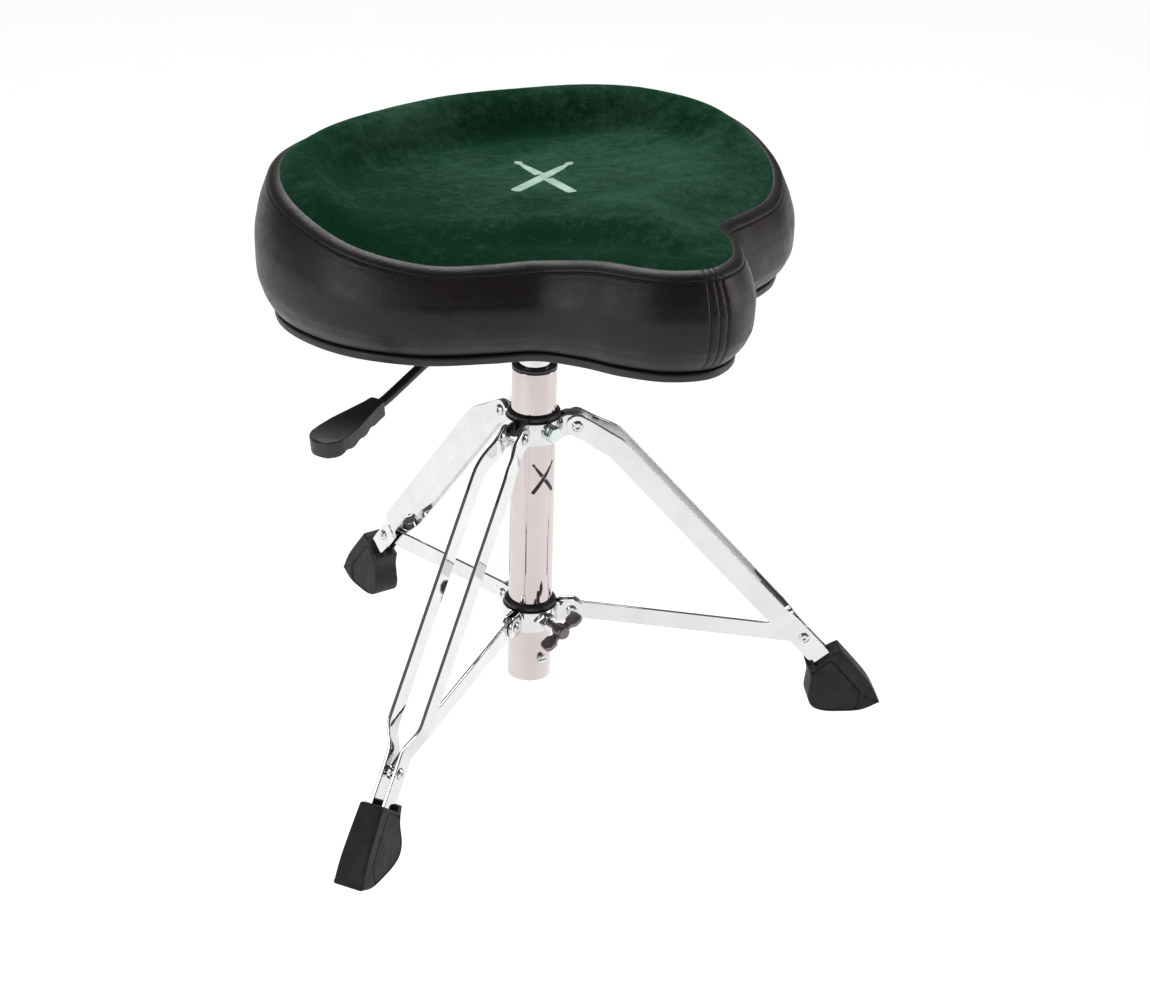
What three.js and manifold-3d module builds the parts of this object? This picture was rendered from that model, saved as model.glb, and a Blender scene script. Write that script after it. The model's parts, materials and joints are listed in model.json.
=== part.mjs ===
// Drum throne: a saddle seat on a gas-sprung column with a folding three-legged stand.
// Millimetres, +Z up. The seat's nose points to -Y, so +X is the sitter's left side.
import * as THREE from 'three';
import { mergeVertices } from 'three/addons/utils/BufferGeometryUtils.js';
import Module from 'manifold-3d';

const wasm = await Module();
wasm.setup();

// ---------- driving dimensions ----------
const GAP = 0.3;                 // clearance between touching pieces
const COLUMN_Y = -36;            // column axis in the part's frame, whose origin is the footprint's centre

const TUBE_R = 19.05;            // 1.5 inch chrome tube
const TUBE_WALL = 1.6;
const TUBE_BOTTOM = 41.3;
const TUBE_TOP = 331.5;
const BUSHING_BOTTOM = 272;
const BUSHING_LIP = 3.5;         // the guide bushing's flange above the tube
const CYLINDER_R = 14;           // 28 mm gas cylinder
const CYLINDER_BOTTOM = 95;
const CYLINDER_TOP = 372;
const ROD_R = 5;
const ROD_BOTTOM = 42.5;
const ROD_TOP = 258;
const PLUG_BOTTOM = 47.5;
const PLUG_TOP = 70;
const TUBE_SCREW_Z = 63;

const BAND_INNER = 21.5;         // both collars: a steel band around a nylon sleeve
const BAND_OUTER = 24;
const SLEEVE_OUTER = BAND_INNER - GAP;
const SLEEVE_INNER = TUBE_R + GAP;
const SLEEVE_RISE = 6;           // the sleeve shows above the band
const UPPER_BAND = [269, 289];
const LOWER_BAND = [92, 111];

const LEG_AZIMUTHS = { left: -30, rear: 90, right: 210 };
const LEG_PIVOT = { r: 36.36, z: 281.24 };
const KNEE = { r: 69.8, z: 262.7 };
const STRUT_PIVOT = { r: 243.14, z: 73.18 };
const COLLAR_PIVOT = { r: 36.26, z: 103.31 };
const BAR_HALF_WIDTH = 9.5;
const BAR_THICKNESS = 3;
const BAR_SIDE_TOP = 8.8;        // distance of a bar's middle plane from the leg's middle plane
const BAR_SIDE_MIDDLE = 14.3;
const BAR_SIDE_FOOT = 5.5;
const PIVOT_R = 3;               // rivets and their holes
const HOLE_R = PIVOT_R + GAP;
const STRUT_HALF_WIDTH = 8;
const STRUT_END_R = 6.5;
const STRUT_THICKNESS = 3;
const BUSH_HALF = 3.7;
const FOOT_END = { r: 273, z: 37.5 };   // the bars' lower ends, inside the boot

const BOOT_HALF_TOP = 10.5;      // the boot's half thickness flares towards the sole
const BOOT_HALF_SOLE = 13.5;
const BOOT_TOP_Z = 62;
const BOOT_SLOT_HALF = 4;
const BAR_LEAN = 39.6;           // lean of the bars' feet from upright, in degrees

const PLATE_BOTTOM = 398.4;
const PLATE_THICKNESS = 3.3;
const PLATE_SIZE = [150, 110];
const BOLT_SPACING = [120, 80];
const HUB_BOTTOM = 347;
const HUB_TOP = PLATE_BOTTOM - GAP;
const HUB_R = 29;
const LEVER_AZIMUTH = 202;
const LEVER_PIVOT = { r: 38, z: 385.5 };
// The release lever's [distance from the column, height] from its pivot's end to inside its grip.
const LEVER_ROUTE = [
  [-3, 385.5], [44, 385.5], [78, 388.5], [112, 389.8], [138, 386.8], [200, 370.2], [208, 368.8], [255, 362.4],
];
const LEVER_ROD_R = 4;
const GRIP_LENGTH = 74;
const GRIP_HALF_WIDTH = 15;
const BUTTON_R = 4;
const BUTTON_TOP = LEVER_PIVOT.z - LEVER_ROD_R - GAP;

const BOARD_BOTTOM = PLATE_BOTTOM + PLATE_THICKNESS + GAP;
const BOARD_THICKNESS = 12;
const TRIM_BOTTOM = 401;
const TRIM_TOP = 409;
const THIGH_Y = -112;            // the top's edge is lowest at the thigh cut-outs
const THIGH_EDGE_Z = 477;
const NOSE_EDGE_Z = 486;
const REAR_EDGE_Z = 518;
const DISH_Z = 492;              // middle of the seat's dish
const CREST_LIFT = [2, 10];      // the padded rim's crest above the edge, at the front and the rear
const CREST_K = 0.9;             // and its place, as a share of the way from the dish's centre to the edge
const BULGE = 16;                // how far the side swells past the edge trim
const SEAM_OUT = 4;              // the stitched seam, measured outwards from the edge trim
const SEAM_DROP = 5;             // and below the inlay's edge
const INLAY_OUT = -4;
const SIDE_WALL = 6;
const PANEL_WALL = 5;
const OUTLINE_POINTS = 48;
const ROUND = 24;                // sides of a turned piece
const SMALL_ROUND = 12;

// ---------- materials ----------
const finish = (color, roughness, metalness) =>
  new THREE.MeshStandardMaterial({ color, roughness, metalness });
const chrome = finish(0xd8d8da, 0.08, 1);
const zinc = finish(0xb9c2bd, 0.3, 1);
const brightSteel = finish(0xc4c4c6, 0.2, 1);
const greyMetal = finish(0x77706f, 0.45, 0.6);
const blackSteel = finish(0x171615, 0.45, 0.3);
const blackPlastic = finish(0x1f1c1b, 0.5, 0);
const nylon = finish(0x151313, 0.45, 0);
const rubber = finish(0x1e1b1b, 0.7, 0);
const vinyl = finish(0x1c1918, 0.4, 0);
const velour = finish(0x0b3b20, 0.95, 0);
const foam = finish(0xd9cf9e, 0.9, 0);
const plywood = finish(0xb98d58, 0.7, 0);

// ---------- geometry helpers ----------
const radians = (degrees) => (degrees * Math.PI) / 180;

function merged(geometry) {
  geometry.deleteAttribute('normal');
  geometry.deleteAttribute('uv');
  return mergeVertices(geometry, 1e-4);
}

function toSolid(geometry) {
  const clean = merged(geometry.clone());
  const mesh = new wasm.Mesh({
    numProp: 3,
    vertProperties: new Float32Array(clean.attributes.position.array),
    triVerts: new Uint32Array(clean.index.array),
  });
  return new wasm.Manifold(mesh);
}

function toGeometry(solid) {
  const mesh = solid.getMesh();
  const geometry = new THREE.BufferGeometry();
  geometry.setAttribute('position', new THREE.BufferAttribute(mesh.vertProperties, 3));
  geometry.setIndex(new THREE.BufferAttribute(mesh.triVerts, 1));
  return geometry;
}

const cut = (geometry, ...tools) =>
  toGeometry(tools.reduce((solid, tool) => solid.subtract(toSolid(tool)), toSolid(geometry)));

const join = (geometry, ...others) =>
  toGeometry(others.reduce((solid, other) => solid.add(toSolid(other)), toSolid(geometry)));

// A turned piece about Z from its [radius, height] profile, listed counter-clockwise.
// A profile that starts and ends off the axis closes on itself.
function turned(profile, segments) {
  const points = profile.map(([r, z]) => new THREE.Vector2(r, z));
  const onAxis = profile[0][0] === 0;
  if (!onAxis) points.push(points[0].clone());
  return merged(new THREE.LatheGeometry(points, segments).rotateX(Math.PI / 2));
}

const ring = (inner, outer, bottom, top, segments) =>
  turned([[inner, bottom], [outer, bottom], [outer, top], [inner, top]], segments);

const rod = (radius, bottom, top, segments) =>
  turned([[0, bottom], [radius, bottom], [radius, top], [0, top]], segments);

// The same turned pieces about an axis along Y or X.
const alongY = (geometry, x, z) => geometry.rotateX(-Math.PI / 2).translate(x, 0, z);
const pinY = (radius, y0, y1, x, z, segments = SMALL_ROUND) => alongY(rod(radius, y0, y1, segments), x, z);
const pinX = (radius, x0, x1, z, segments = SMALL_ROUND) =>
  rod(radius, x0, x1, segments).rotateY(Math.PI / 2).translate(0, 0, z);

// A flat plate in the XZ plane between two values of Y.
function plateXZ(shape, y0, y1, curveSegments = 6) {
  const options = { depth: y1 - y0, bevelEnabled: false, curveSegments };
  return new THREE.ExtrudeGeometry(shape, options).rotateX(Math.PI / 2).translate(0, y1, 0);
}

// A solid skinned over closed sections with equal counts of points, capped at both ends.
function skinned(sections) {
  const count = sections[0].length;
  const positions = sections.flat(2);
  const index = [];
  for (let s = 0; s + 1 < sections.length; s += 1) {
    for (let i = 0; i < count; i += 1) {
      const next = (i + 1) % count;
      const [a, b] = [s * count + i, s * count + next];
      index.push(a, b, b + count, a, b + count, a + count);
    }
  }
  const last = (sections.length - 1) * count;
  for (let i = 1; i + 1 < count; i += 1) {
    index.push(0, i + 1, i, last, last + i, last + i + 1);
  }
  const geometry = new THREE.BufferGeometry();
  geometry.setAttribute('position', new THREE.Float32BufferAttribute(positions, 3));
  geometry.setIndex(index);
  return geometry;
}

// A ring-shaped or dished solid skinned over loops that close on themselves, outermost loop first.
// A loop of one point closes the skin there.
function looped(loops, closes) {
  const positions = [];
  const starts = loops.map((loop) => {
    const start = positions.length / 3;
    loop.forEach((point) => positions.push(...point));
    return start;
  });
  const index = [];
  const pairs = loops.map((_, k) => [k, k + 1]).slice(0, -1);
  if (closes) pairs.push([loops.length - 1, 0]);
  for (const [k, m] of pairs) {
    const count = Math.max(loops[k].length, loops[m].length);
    for (let i = 0; i < count; i += 1) {
      const next = (i + 1) % count;
      const at = (loop, n) => starts[loop] + (loops[loop].length === 1 ? 0 : n);
      if (loops[k].length > 1) index.push(at(k, i), at(k, next), at(m, next));
      if (loops[m].length > 1) index.push(at(k, i), at(m, next), at(m, i));
    }
  }
  const geometry = new THREE.BufferGeometry();
  geometry.setAttribute('position', new THREE.Float32BufferAttribute(positions, 3));
  geometry.setIndex(index);
  return geometry;
}

function add(parent, name, geometry, material) {
  const mesh = new THREE.Mesh(merged(geometry), material);
  mesh.name = name;
  parent.add(mesh);
  return mesh;
}

// ---------- seat outline ----------
// Half of the trim's outline from the nose's tip to the middle of the rear edge, mirrored for the rest.
const HALF_OUTLINE = [
  [0, -228], [29, -217], [51, -191], [66, -161], [88, -133], [122, -119], [166, -97], [204, -52],
  [217, 0], [211, 42], [185, 92], [140, 126], [74, 150], [0, 161],
];
const mirrored = HALF_OUTLINE.slice(1, -1).reverse().map(([x, y]) => [-x, y]);
const outlineCurve = new THREE.CatmullRomCurve3(
  [...HALF_OUTLINE, ...mirrored].map(([x, y]) => new THREE.Vector3(x, y, 0)), true, 'centripetal');
const OUTLINE = outlineCurve.getSpacedPoints(OUTLINE_POINTS).slice(0, OUTLINE_POINTS);
const DISH_CENTRE = new THREE.Vector3(0, -10, 0);
const NOSE_Y = HALF_OUTLINE[0][1];
const REAR_Y = HALF_OUTLINE[HALF_OUTLINE.length - 1][1];

// Outward normals of the outline, which runs counter-clockwise seen from above.
const NORMALS = OUTLINE.map((_, i) => {
  const before = OUTLINE[(i + OUTLINE_POINTS - 1) % OUTLINE_POINTS];
  const after = OUTLINE[(i + 1) % OUTLINE_POINTS];
  return new THREE.Vector3(after.y - before.y, before.x - after.x, 0).normalize();
});

// Height of the inlay's edge: lowest at the thighs, a little higher at the nose, highest at the rear.
function edgeZ(y) {
  if (y < THIGH_Y) {
    const t = (THIGH_Y - y) / (THIGH_Y - NOSE_Y);
    const eased = Math.min(1, 1.5 * t);
    return THIGH_EDGE_Z + (NOSE_EDGE_Z - THIGH_EDGE_Z) * eased * eased * (3 - 2 * eased);
  }
  const t = Math.min(1, (y - THIGH_Y) / (REAR_Y - THIGH_Y));
  return THIGH_EDGE_Z + (REAR_EDGE_Z - THIGH_EDGE_Z) * Math.sin((Math.PI / 2) * t) ** 1.15;
}

const seamZ = (y) => edgeZ(y) - SEAM_DROP;

function crestLift(y) {
  const t = Math.max(0, Math.min(1, (y - THIGH_Y) / (REAR_Y - THIGH_Y)));
  return CREST_LIFT[0] + (CREST_LIFT[1] - CREST_LIFT[0]) * t;
}

// One loop around the seat: the outline moved outwards by `out`, at a height given as a number or by y.
function seatLoop(out, height) {
  return OUTLINE.map((point, i) => {
    const x = point.x + NORMALS[i].x * out;
    const y = point.y + NORMALS[i].y * out;
    const z = typeof height === 'number' ? height : height(point.y);
    return [x, y, z];
  });
}

// A loop of the dished top: the inlay's edge shrunk towards the dish's centre by the factor k.
function dishLoop(k, drop) {
  return OUTLINE.map((point, i) => {
    const x = point.x + NORMALS[i].x * INLAY_OUT;
    const y = point.y + NORMALS[i].y * INLAY_OUT;
    const crest = edgeZ(point.y) + crestLift(point.y);
    const rise = Math.min(1, k / CREST_K);
    const fall = Math.max(0, (k - CREST_K) / (1 - CREST_K));
    const climb = (crest - DISH_Z) * Math.sin((Math.PI / 2) * rise) ** 2.4;
    const z = DISH_Z + climb - crestLift(point.y) * fall ** 2;
    const centre = DISH_CENTRE;
    return [centre.x + (x - centre.x) * k, centre.y + (y - centre.y) * k, z - drop];
  });
}

const flatOutline = (out) => new THREE.Shape(seatLoop(out, 0).map(([x, y]) => new THREE.Vector2(x, y)));

// ---------- column ----------
const throne = new THREE.Group();
throne.position.y = COLUMN_Y;
const TUBE_INNER = TUBE_R - TUBE_WALL;

// Pieces at the front, on the -Y side of the column, are made along +X and turned to -Y.
const toFront = (geometry) => geometry.rotateZ(-Math.PI / 2);

function column() {
  const tube = ring(TUBE_INNER, TUBE_R, TUBE_BOTTOM, TUBE_TOP, ROUND);
  const boltHole = toFront(pinX(HOLE_R, 10, 30, LEG_PIVOT.z));
  const screwHole = toFront(pinX(2.8, 10, 30, TUBE_SCREW_Z));
  add(throne, 'column_tube', cut(tube, boltHole, screwHole), chrome);

  const inner = CYLINDER_R + GAP;
  const bushing = turned([
    [inner, BUSHING_BOTTOM], [TUBE_INNER - GAP, BUSHING_BOTTOM], [TUBE_INNER - GAP, TUBE_TOP + GAP],
    [TUBE_R, TUBE_TOP + GAP], [TUBE_R, TUBE_TOP + BUSHING_LIP], [inner, TUBE_TOP + BUSHING_LIP],
  ], ROUND);
  add(throne, 'guide_bushing', bushing, nylon);

  const plug = ring(ROD_R + GAP, TUBE_INNER - GAP, PLUG_BOTTOM, PLUG_TOP, ROUND);
  add(throne, 'base_plug', cut(plug, toFront(pinX(2.8, 10, 30, TUBE_SCREW_Z))), blackPlastic);

  const head = turned([
    [0, 10.5], [2.5, 10.5], [2.5, TUBE_R + GAP], [4.4, TUBE_R + GAP], [4.4, 21], [3.4, 22.2], [0, 22.4],
  ], SMALL_ROUND).rotateY(Math.PI / 2).translate(0, 0, TUBE_SCREW_Z);
  const slot = new THREE.BoxGeometry(1.4, 12, 1).translate(22.2, 0, TUBE_SCREW_Z);
  add(throne, 'tube_screw', toFront(cut(head, slot)), zinc);
}

function gasSpring() {
  add(throne, 'piston_rod', rod(ROD_R, ROD_BOTTOM, ROD_TOP, 16), brightSteel);
  add(throne, 'retaining_clip', ring(ROD_R + GAP, 9, 44.5, PLUG_BOTTOM - GAP, 16), zinc);
  add(throne, 'thrust_bearing', ring(ROD_R + GAP, 12, PLUG_TOP + GAP, 76, 16), brightSteel);
  add(throne, 'rod_bumper', ring(ROD_R + GAP, 10.5, 76 + GAP, CYLINDER_BOTTOM - 2 * GAP, 16), rubber);

  const bore = rod(ROD_R + GAP, CYLINDER_BOTTOM - 1, ROD_TOP + 4, 16);
  const valve = rod(BUTTON_R + GAP, CYLINDER_TOP - 14, CYLINDER_TOP + 1, SMALL_ROUND);
  const cylinder = turned([
    [0, CYLINDER_BOTTOM], [CYLINDER_R, CYLINDER_BOTTOM], [CYLINDER_R, CYLINDER_TOP - 2],
    [CYLINDER_R - 2, CYLINDER_TOP], [0, CYLINDER_TOP],
  ], ROUND);
  add(throne, 'gas_cylinder', cut(cylinder, bore, valve), chrome);
  add(throne, 'release_button', rod(BUTTON_R, CYLINDER_TOP - 8, BUTTON_TOP, SMALL_ROUND), brightSteel);
}

// ---------- collars ----------
// A pair of lugs on each side of a leg or strut: flat cheeks with a round end about the pivot.
function lugs(pivot, endRadius, sideInner, sideOuter) {
  const shape = new THREE.Shape();
  shape.moveTo(BAND_INNER + 1, pivot.z - endRadius);
  shape.lineTo(pivot.r, pivot.z - endRadius);
  shape.absarc(pivot.r, pivot.z, endRadius, -Math.PI / 2, Math.PI / 2, false);
  shape.lineTo(BAND_INNER + 1, pivot.z + endRadius);
  const hole = new THREE.Path();
  hole.absarc(pivot.r, pivot.z, HOLE_R, 0, 2 * Math.PI, true);
  shape.holes.push(hole);
  return [
    plateXZ(shape, sideInner, sideOuter),
    plateXZ(shape, -sideOuter, -sideInner),
  ];
}

function collarBand([bottom, top], pivot, endRadius, sideInner, sideOuter) {
  const cheeks = Object.values(LEG_AZIMUTHS).flatMap((azimuth) =>
    lugs(pivot, endRadius, sideInner, sideOuter).map((cheek) => cheek.rotateZ(radians(azimuth))));
  return join(ring(BAND_INNER, BAND_OUTER, bottom, top, ROUND), ...cheeks);
}

function rivet(halfLength, pivot) {
  const head = 2;
  const profile = [
    [0, -halfLength - head], [3.2, -halfLength - head * 0.75], [5, -halfLength],
    [PIVOT_R, -halfLength], [PIVOT_R, halfLength],
    [5, halfLength], [3.2, halfLength + head * 0.75], [0, halfLength + head],
  ];
  return alongY(turned(profile, SMALL_ROUND), pivot.r, pivot.z);
}

function upperCollar() {
  const band = collarBand(UPPER_BAND, LEG_PIVOT, BAR_HALF_WIDTH, 4.5, 7);
  add(throne, 'upper_collar', cut(band, toFront(pinX(HOLE_R, 18, 30, LEG_PIVOT.z))), chrome);
  const sleeve = ring(SLEEVE_INNER, SLEEVE_OUTER, UPPER_BAND[0], UPPER_BAND[1] + SLEEVE_RISE, ROUND);
  add(throne, 'upper_sleeve', cut(sleeve, toFront(pinX(HOLE_R, 10, 30, LEG_PIVOT.z))), nylon);

  const headStart = BAND_OUTER + GAP;
  const bolt = turned([
    [0, 17.6], [PIVOT_R, 17.6], [PIVOT_R, headStart], [7.5, headStart],
    [7.5, headStart + 1.5], [0, headStart + 1.5],
  ], SMALL_ROUND);
  const hex = turned([
    [0, headStart + 1], [6.4, headStart + 1], [6.4, headStart + 8], [5.6, headStart + 9], [0, headStart + 9],
  ], 6);
  const placed = join(bolt, hex).rotateY(Math.PI / 2).translate(0, 0, LEG_PIVOT.z);
  add(throne, 'collar_bolt', toFront(placed), zinc);
}

function lowerCollar() {
  const band = collarBand(LOWER_BAND, COLLAR_PIVOT, 10, 2.2, 4.7);
  const boss = turned([[0, BAND_INNER + 1], [7, BAND_INNER + 1], [7, 33], [0, 33]], 6)
    .rotateY(Math.PI / 2).translate(0, 0, COLLAR_PIVOT.z);
  const thread = toFront(pinX(HOLE_R, 18, 40, COLLAR_PIVOT.z));
  add(throne, 'lower_collar', cut(join(band, toFront(boss)), thread), chrome);
  const sleeve = ring(SLEEVE_INNER, SLEEVE_OUTER, LOWER_BAND[0], LOWER_BAND[1] + SLEEVE_RISE, ROUND);
  add(throne, 'lower_sleeve', cut(sleeve, toFront(pinX(HOLE_R, 10, 30, COLLAR_PIVOT.z))), nylon);

  add(throne, 'clamp_pad', toFront(pinX(PIVOT_R, SLEEVE_INNER + 0.1, 23, COLLAR_PIVOT.z)), nylon);
  const screw = turned([
    [0, 23 + GAP], [PIVOT_R, 23 + GAP], [PIVOT_R, 42], [6, 44], [6, 53], [0, 54],
  ], SMALL_ROUND).rotateY(Math.PI / 2);
  const wing = new THREE.Shape();
  wing.moveTo(45, 0);
  wing.lineTo(45, 9);
  wing.lineTo(42.5, 12);
  wing.lineTo(42.5, 18);
  wing.lineTo(45.5, 21);
  wing.lineTo(52.5, 21);
  wing.lineTo(55.5, 18);
  wing.lineTo(55.5, 12);
  wing.lineTo(52, 8);
  wing.lineTo(52, 0);
  const upperWing = plateXZ(wing, -2, 2);
  const lowerWing = upperWing.clone().rotateX(Math.PI);
  const wingScrew = join(screw, upperWing, lowerWing).rotateX(radians(-57)).translate(0, 0, COLLAR_PIVOT.z);
  add(throne, 'wing_screw', toFront(wingScrew), greyMetal);
}

// ---------- legs ----------
// A flat bar along a path of { r, z, side } stations; `half` is its half width in the leg's plane.
function flatBar(path, thickness) {
  const sections = path.map((station, i) => {
    const before = path[Math.max(0, i - 1)];
    const after = path[Math.min(path.length - 1, i + 1)];
    const along = new THREE.Vector2(after.r - before.r, after.z - before.z).normalize();
    const across = new THREE.Vector2(-along.y, along.x).multiplyScalar(station.half);
    const face = thickness / 2;
    const corner = (w, s) => [station.r + w * across.x, station.side + s * face, station.z + w * across.y];
    return [corner(1, 1), corner(1, -1), corner(-1, -1), corner(-1, 1)];
  });
  return skinned(sections);
}

const lerp = (a, b, t) => a + (b - a) * t;
const between = (a, b, t) => ({ r: lerp(a.r, b.r, t), z: lerp(a.z, b.z, t) });
const span = (a, b) => Math.hypot(b.r - a.r, b.z - a.z);
const atDistance = (a, b, distance) => between(a, b, distance / span(a, b));

// Stations of a round end about `pivot`, facing away from `target`.
function roundEnd(pivot, target, radius, side) {
  return [20, 40, 60, 78].map((angle) => ({
    ...atDistance(pivot, target, -radius * Math.cos(radians(angle))),
    side,
    half: radius * Math.sin(radians(angle)),
  }));
}

function legBarPath(sign, grow) {
  const half = BAR_HALF_WIDTH + grow;
  const at = (point, side) => ({ ...point, side: sign * side, half });
  const toStrut = span(KNEE, STRUT_PIVOT);
  return [
    ...roundEnd(LEG_PIVOT, KNEE, half, sign * BAR_SIDE_TOP),
    at(LEG_PIVOT, BAR_SIDE_TOP),
    at(atDistance(LEG_PIVOT, KNEE, 13), BAR_SIDE_TOP),
    at(atDistance(LEG_PIVOT, KNEE, 28), 12.5),
    at(atDistance(KNEE, STRUT_PIVOT, 5), BAR_SIDE_MIDDLE),
    at(atDistance(KNEE, STRUT_PIVOT, toStrut - 36), BAR_SIDE_MIDDLE),
    at(atDistance(KNEE, STRUT_PIVOT, toStrut - 18), BAR_SIDE_FOOT),
    at(STRUT_PIVOT, BAR_SIDE_FOOT),
    at(FOOT_END, BAR_SIDE_FOOT),
  ];
}

function legBar(sign) {
  const bar = flatBar(legBarPath(sign, 0), BAR_THICKNESS);
  const holes = [LEG_PIVOT, STRUT_PIVOT].map((pivot) => pinY(HOLE_R, -30, 30, pivot.r, pivot.z));
  return cut(bar, ...holes);
}

// The rubber boot: a hoof with a flat sole, a pocket for each bar and a slot for the strut's end.
function bootShape() {
  const shape = new THREE.Shape();
  shape.moveTo(263, 0);
  shape.lineTo(298, 0);
  shape.quadraticCurveTo(308, 1.5, 316, 10);
  shape.quadraticCurveTo(313, 19, 306, 26);
  shape.lineTo(276, BOOT_TOP_Z);
  shape.lineTo(247, 47);
  shape.lineTo(252, 26);
  shape.quadraticCurveTo(247, 12, 263, 0);
  return shape;
}

function boot() {
  const edge = 2.5;
  const options = {
    depth: 2 * BOOT_HALF_SOLE - 2 * edge, bevelEnabled: true, bevelThickness: edge, bevelSize: edge,
    bevelOffset: -edge, bevelSegments: 2, curveSegments: 4,
  };
  const body = new THREE.ExtrudeGeometry(bootShape(), options).rotateX(Math.PI / 2)
    .translate(0, BOOT_HALF_SOLE - edge, 0);
  const place = body.attributes.position;
  for (let i = 0; i < place.count; i += 1) {
    const height = place.getZ(i) / BOOT_TOP_Z;
    place.setY(i, place.getY(i) * lerp(1, BOOT_HALF_TOP / BOOT_HALF_SOLE, height));
  }
  const pockets = [-1, 1].map((sign) => {
    const past = atDistance(STRUT_PIVOT, FOOT_END, span(STRUT_PIVOT, FOOT_END) + GAP);
    const pocket = { side: sign * BAR_SIDE_FOOT, half: BAR_HALF_WIDTH + GAP };
    return flatBar([{ ...STRUT_PIVOT, ...pocket }, { ...past, ...pocket }], BAR_THICKNESS + 2 * GAP);
  });
  const floor = atDistance(STRUT_PIVOT, FOOT_END, 31);
  const slot = new THREE.BoxGeometry(32, 2 * BOOT_SLOT_HALF, 60).translate(10, 0, 30)
    .rotateY(radians(-BAR_LEAN)).translate(floor.r, 0, floor.z);
  return cut(body, ...pockets, slot);
}

function footRivet(sign) {
  const inner = BAR_SIDE_FOOT - BAR_THICKNESS / 2;
  const outer = BAR_SIDE_FOOT + BAR_THICKNESS / 2 + GAP;
  const profile = [
    [0, inner + GAP], [PIVOT_R, inner + GAP], [PIVOT_R, outer],
    [5, outer], [3.4, outer + 1.5], [0, outer + 2],
  ];
  const stud = alongY(turned(profile, SMALL_ROUND), STRUT_PIVOT.r, STRUT_PIVOT.z);
  return sign > 0 ? stud : stud.rotateZ(Math.PI).translate(2 * STRUT_PIVOT.r, 0, 0);
}

function strut() {
  const collarEnd = roundEnd(COLLAR_PIVOT, STRUT_PIVOT, STRUT_HALF_WIDTH, 0);
  const legEnd = roundEnd(STRUT_PIVOT, COLLAR_PIVOT, STRUT_END_R, 0).reverse();
  const at = (point, half) => ({ ...point, side: 0, half });
  const length = span(COLLAR_PIVOT, STRUT_PIVOT);
  const bar = flatBar([
    ...collarEnd,
    at(COLLAR_PIVOT, STRUT_HALF_WIDTH),
    at(atDistance(COLLAR_PIVOT, STRUT_PIVOT, length - 14), STRUT_HALF_WIDTH),
    at(STRUT_PIVOT, STRUT_END_R),
    ...legEnd,
  ], STRUT_THICKNESS);
  const holes = [COLLAR_PIVOT, STRUT_PIVOT].map((pivot) => pinY(HOLE_R, -30, 30, pivot.r, pivot.z));
  return cut(bar, ...holes);
}

function strutBush() {
  const face = STRUT_THICKNESS / 2 + GAP;
  const profile = [
    [0, -BUSH_HALF], [4.2, -BUSH_HALF], [4.2, -face], [PIVOT_R, -face],
    [PIVOT_R, face], [4.2, face], [4.2, BUSH_HALF], [0, BUSH_HALF],
  ];
  return alongY(turned(profile, SMALL_ROUND), STRUT_PIVOT.r, STRUT_PIVOT.z);
}

function legs() {
  for (const [side, azimuth] of Object.entries(LEG_AZIMUTHS)) {
    const leg = new THREE.Group();
    leg.rotation.z = radians(azimuth);
    throne.add(leg);
    add(leg, `${side}_leg_bar_1`, legBar(1), chrome);
    add(leg, `${side}_leg_bar_2`, legBar(-1), chrome);
    add(leg, `${side}_boot`, boot(), rubber);
    add(leg, `${side}_leg_rivet`, rivet(BAR_SIDE_TOP + BAR_THICKNESS / 2 + GAP, LEG_PIVOT), brightSteel);
    add(leg, `${side}_foot_rivet_1`, footRivet(1), brightSteel);
    add(leg, `${side}_foot_rivet_2`, footRivet(-1), brightSteel);
    add(leg, `${side}_strut`, strut(), chrome);
    add(leg, `${side}_strut_bush`, strutBush(), brightSteel);
    add(leg, `${side}_strut_rivet`, rivet(4.7 + GAP, COLLAR_PIVOT), brightSteel);
  }
}

// ---------- seat mechanism ----------
function mechanism() {
  const group = new THREE.Group();
  group.rotation.z = radians(LEVER_AZIMUTH);
  throne.add(group);

  const inner = CYLINDER_R + GAP;
  const hub = turned([
    [inner, HUB_BOTTOM], [19, HUB_BOTTOM], [HUB_R, 366], [HUB_R, HUB_TOP], [inner, HUB_TOP],
  ], ROUND);
  const ear = new THREE.Shape();
  ear.moveTo(HUB_R - 3, HUB_TOP - 22);
  ear.lineTo(LEVER_PIVOT.r + 4, HUB_TOP - 22);
  ear.quadraticCurveTo(LEVER_PIVOT.r + 9, HUB_TOP - 22, LEVER_PIVOT.r + 9, HUB_TOP - 14);
  ear.lineTo(LEVER_PIVOT.r + 9, HUB_TOP);
  ear.lineTo(HUB_R - 3, HUB_TOP);
  const pinHole = new THREE.Path();
  pinHole.absarc(LEVER_PIVOT.r, LEVER_PIVOT.z, 2 + GAP, 0, 2 * Math.PI, true);
  ear.holes.push(pinHole);
  const leverSlot = new THREE.BoxGeometry(40, 2 * (LEVER_ROD_R + 1), 30).translate(28, 0, HUB_TOP - 7);
  const ears = [plateXZ(ear, 5, 8), plateXZ(ear, -8, -5)];
  add(group, 'seat_hub', cut(join(hub, ...ears), leverSlot), blackSteel);

  const pin = turned([[0, -10], [3.4, -10], [3.4, -8 - GAP], [2, -8 - GAP], [2, 9.5], [0, 9.5]], SMALL_ROUND);
  add(group, 'lever_pin', alongY(pin, LEVER_PIVOT.r, LEVER_PIVOT.z), zinc);
}

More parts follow.
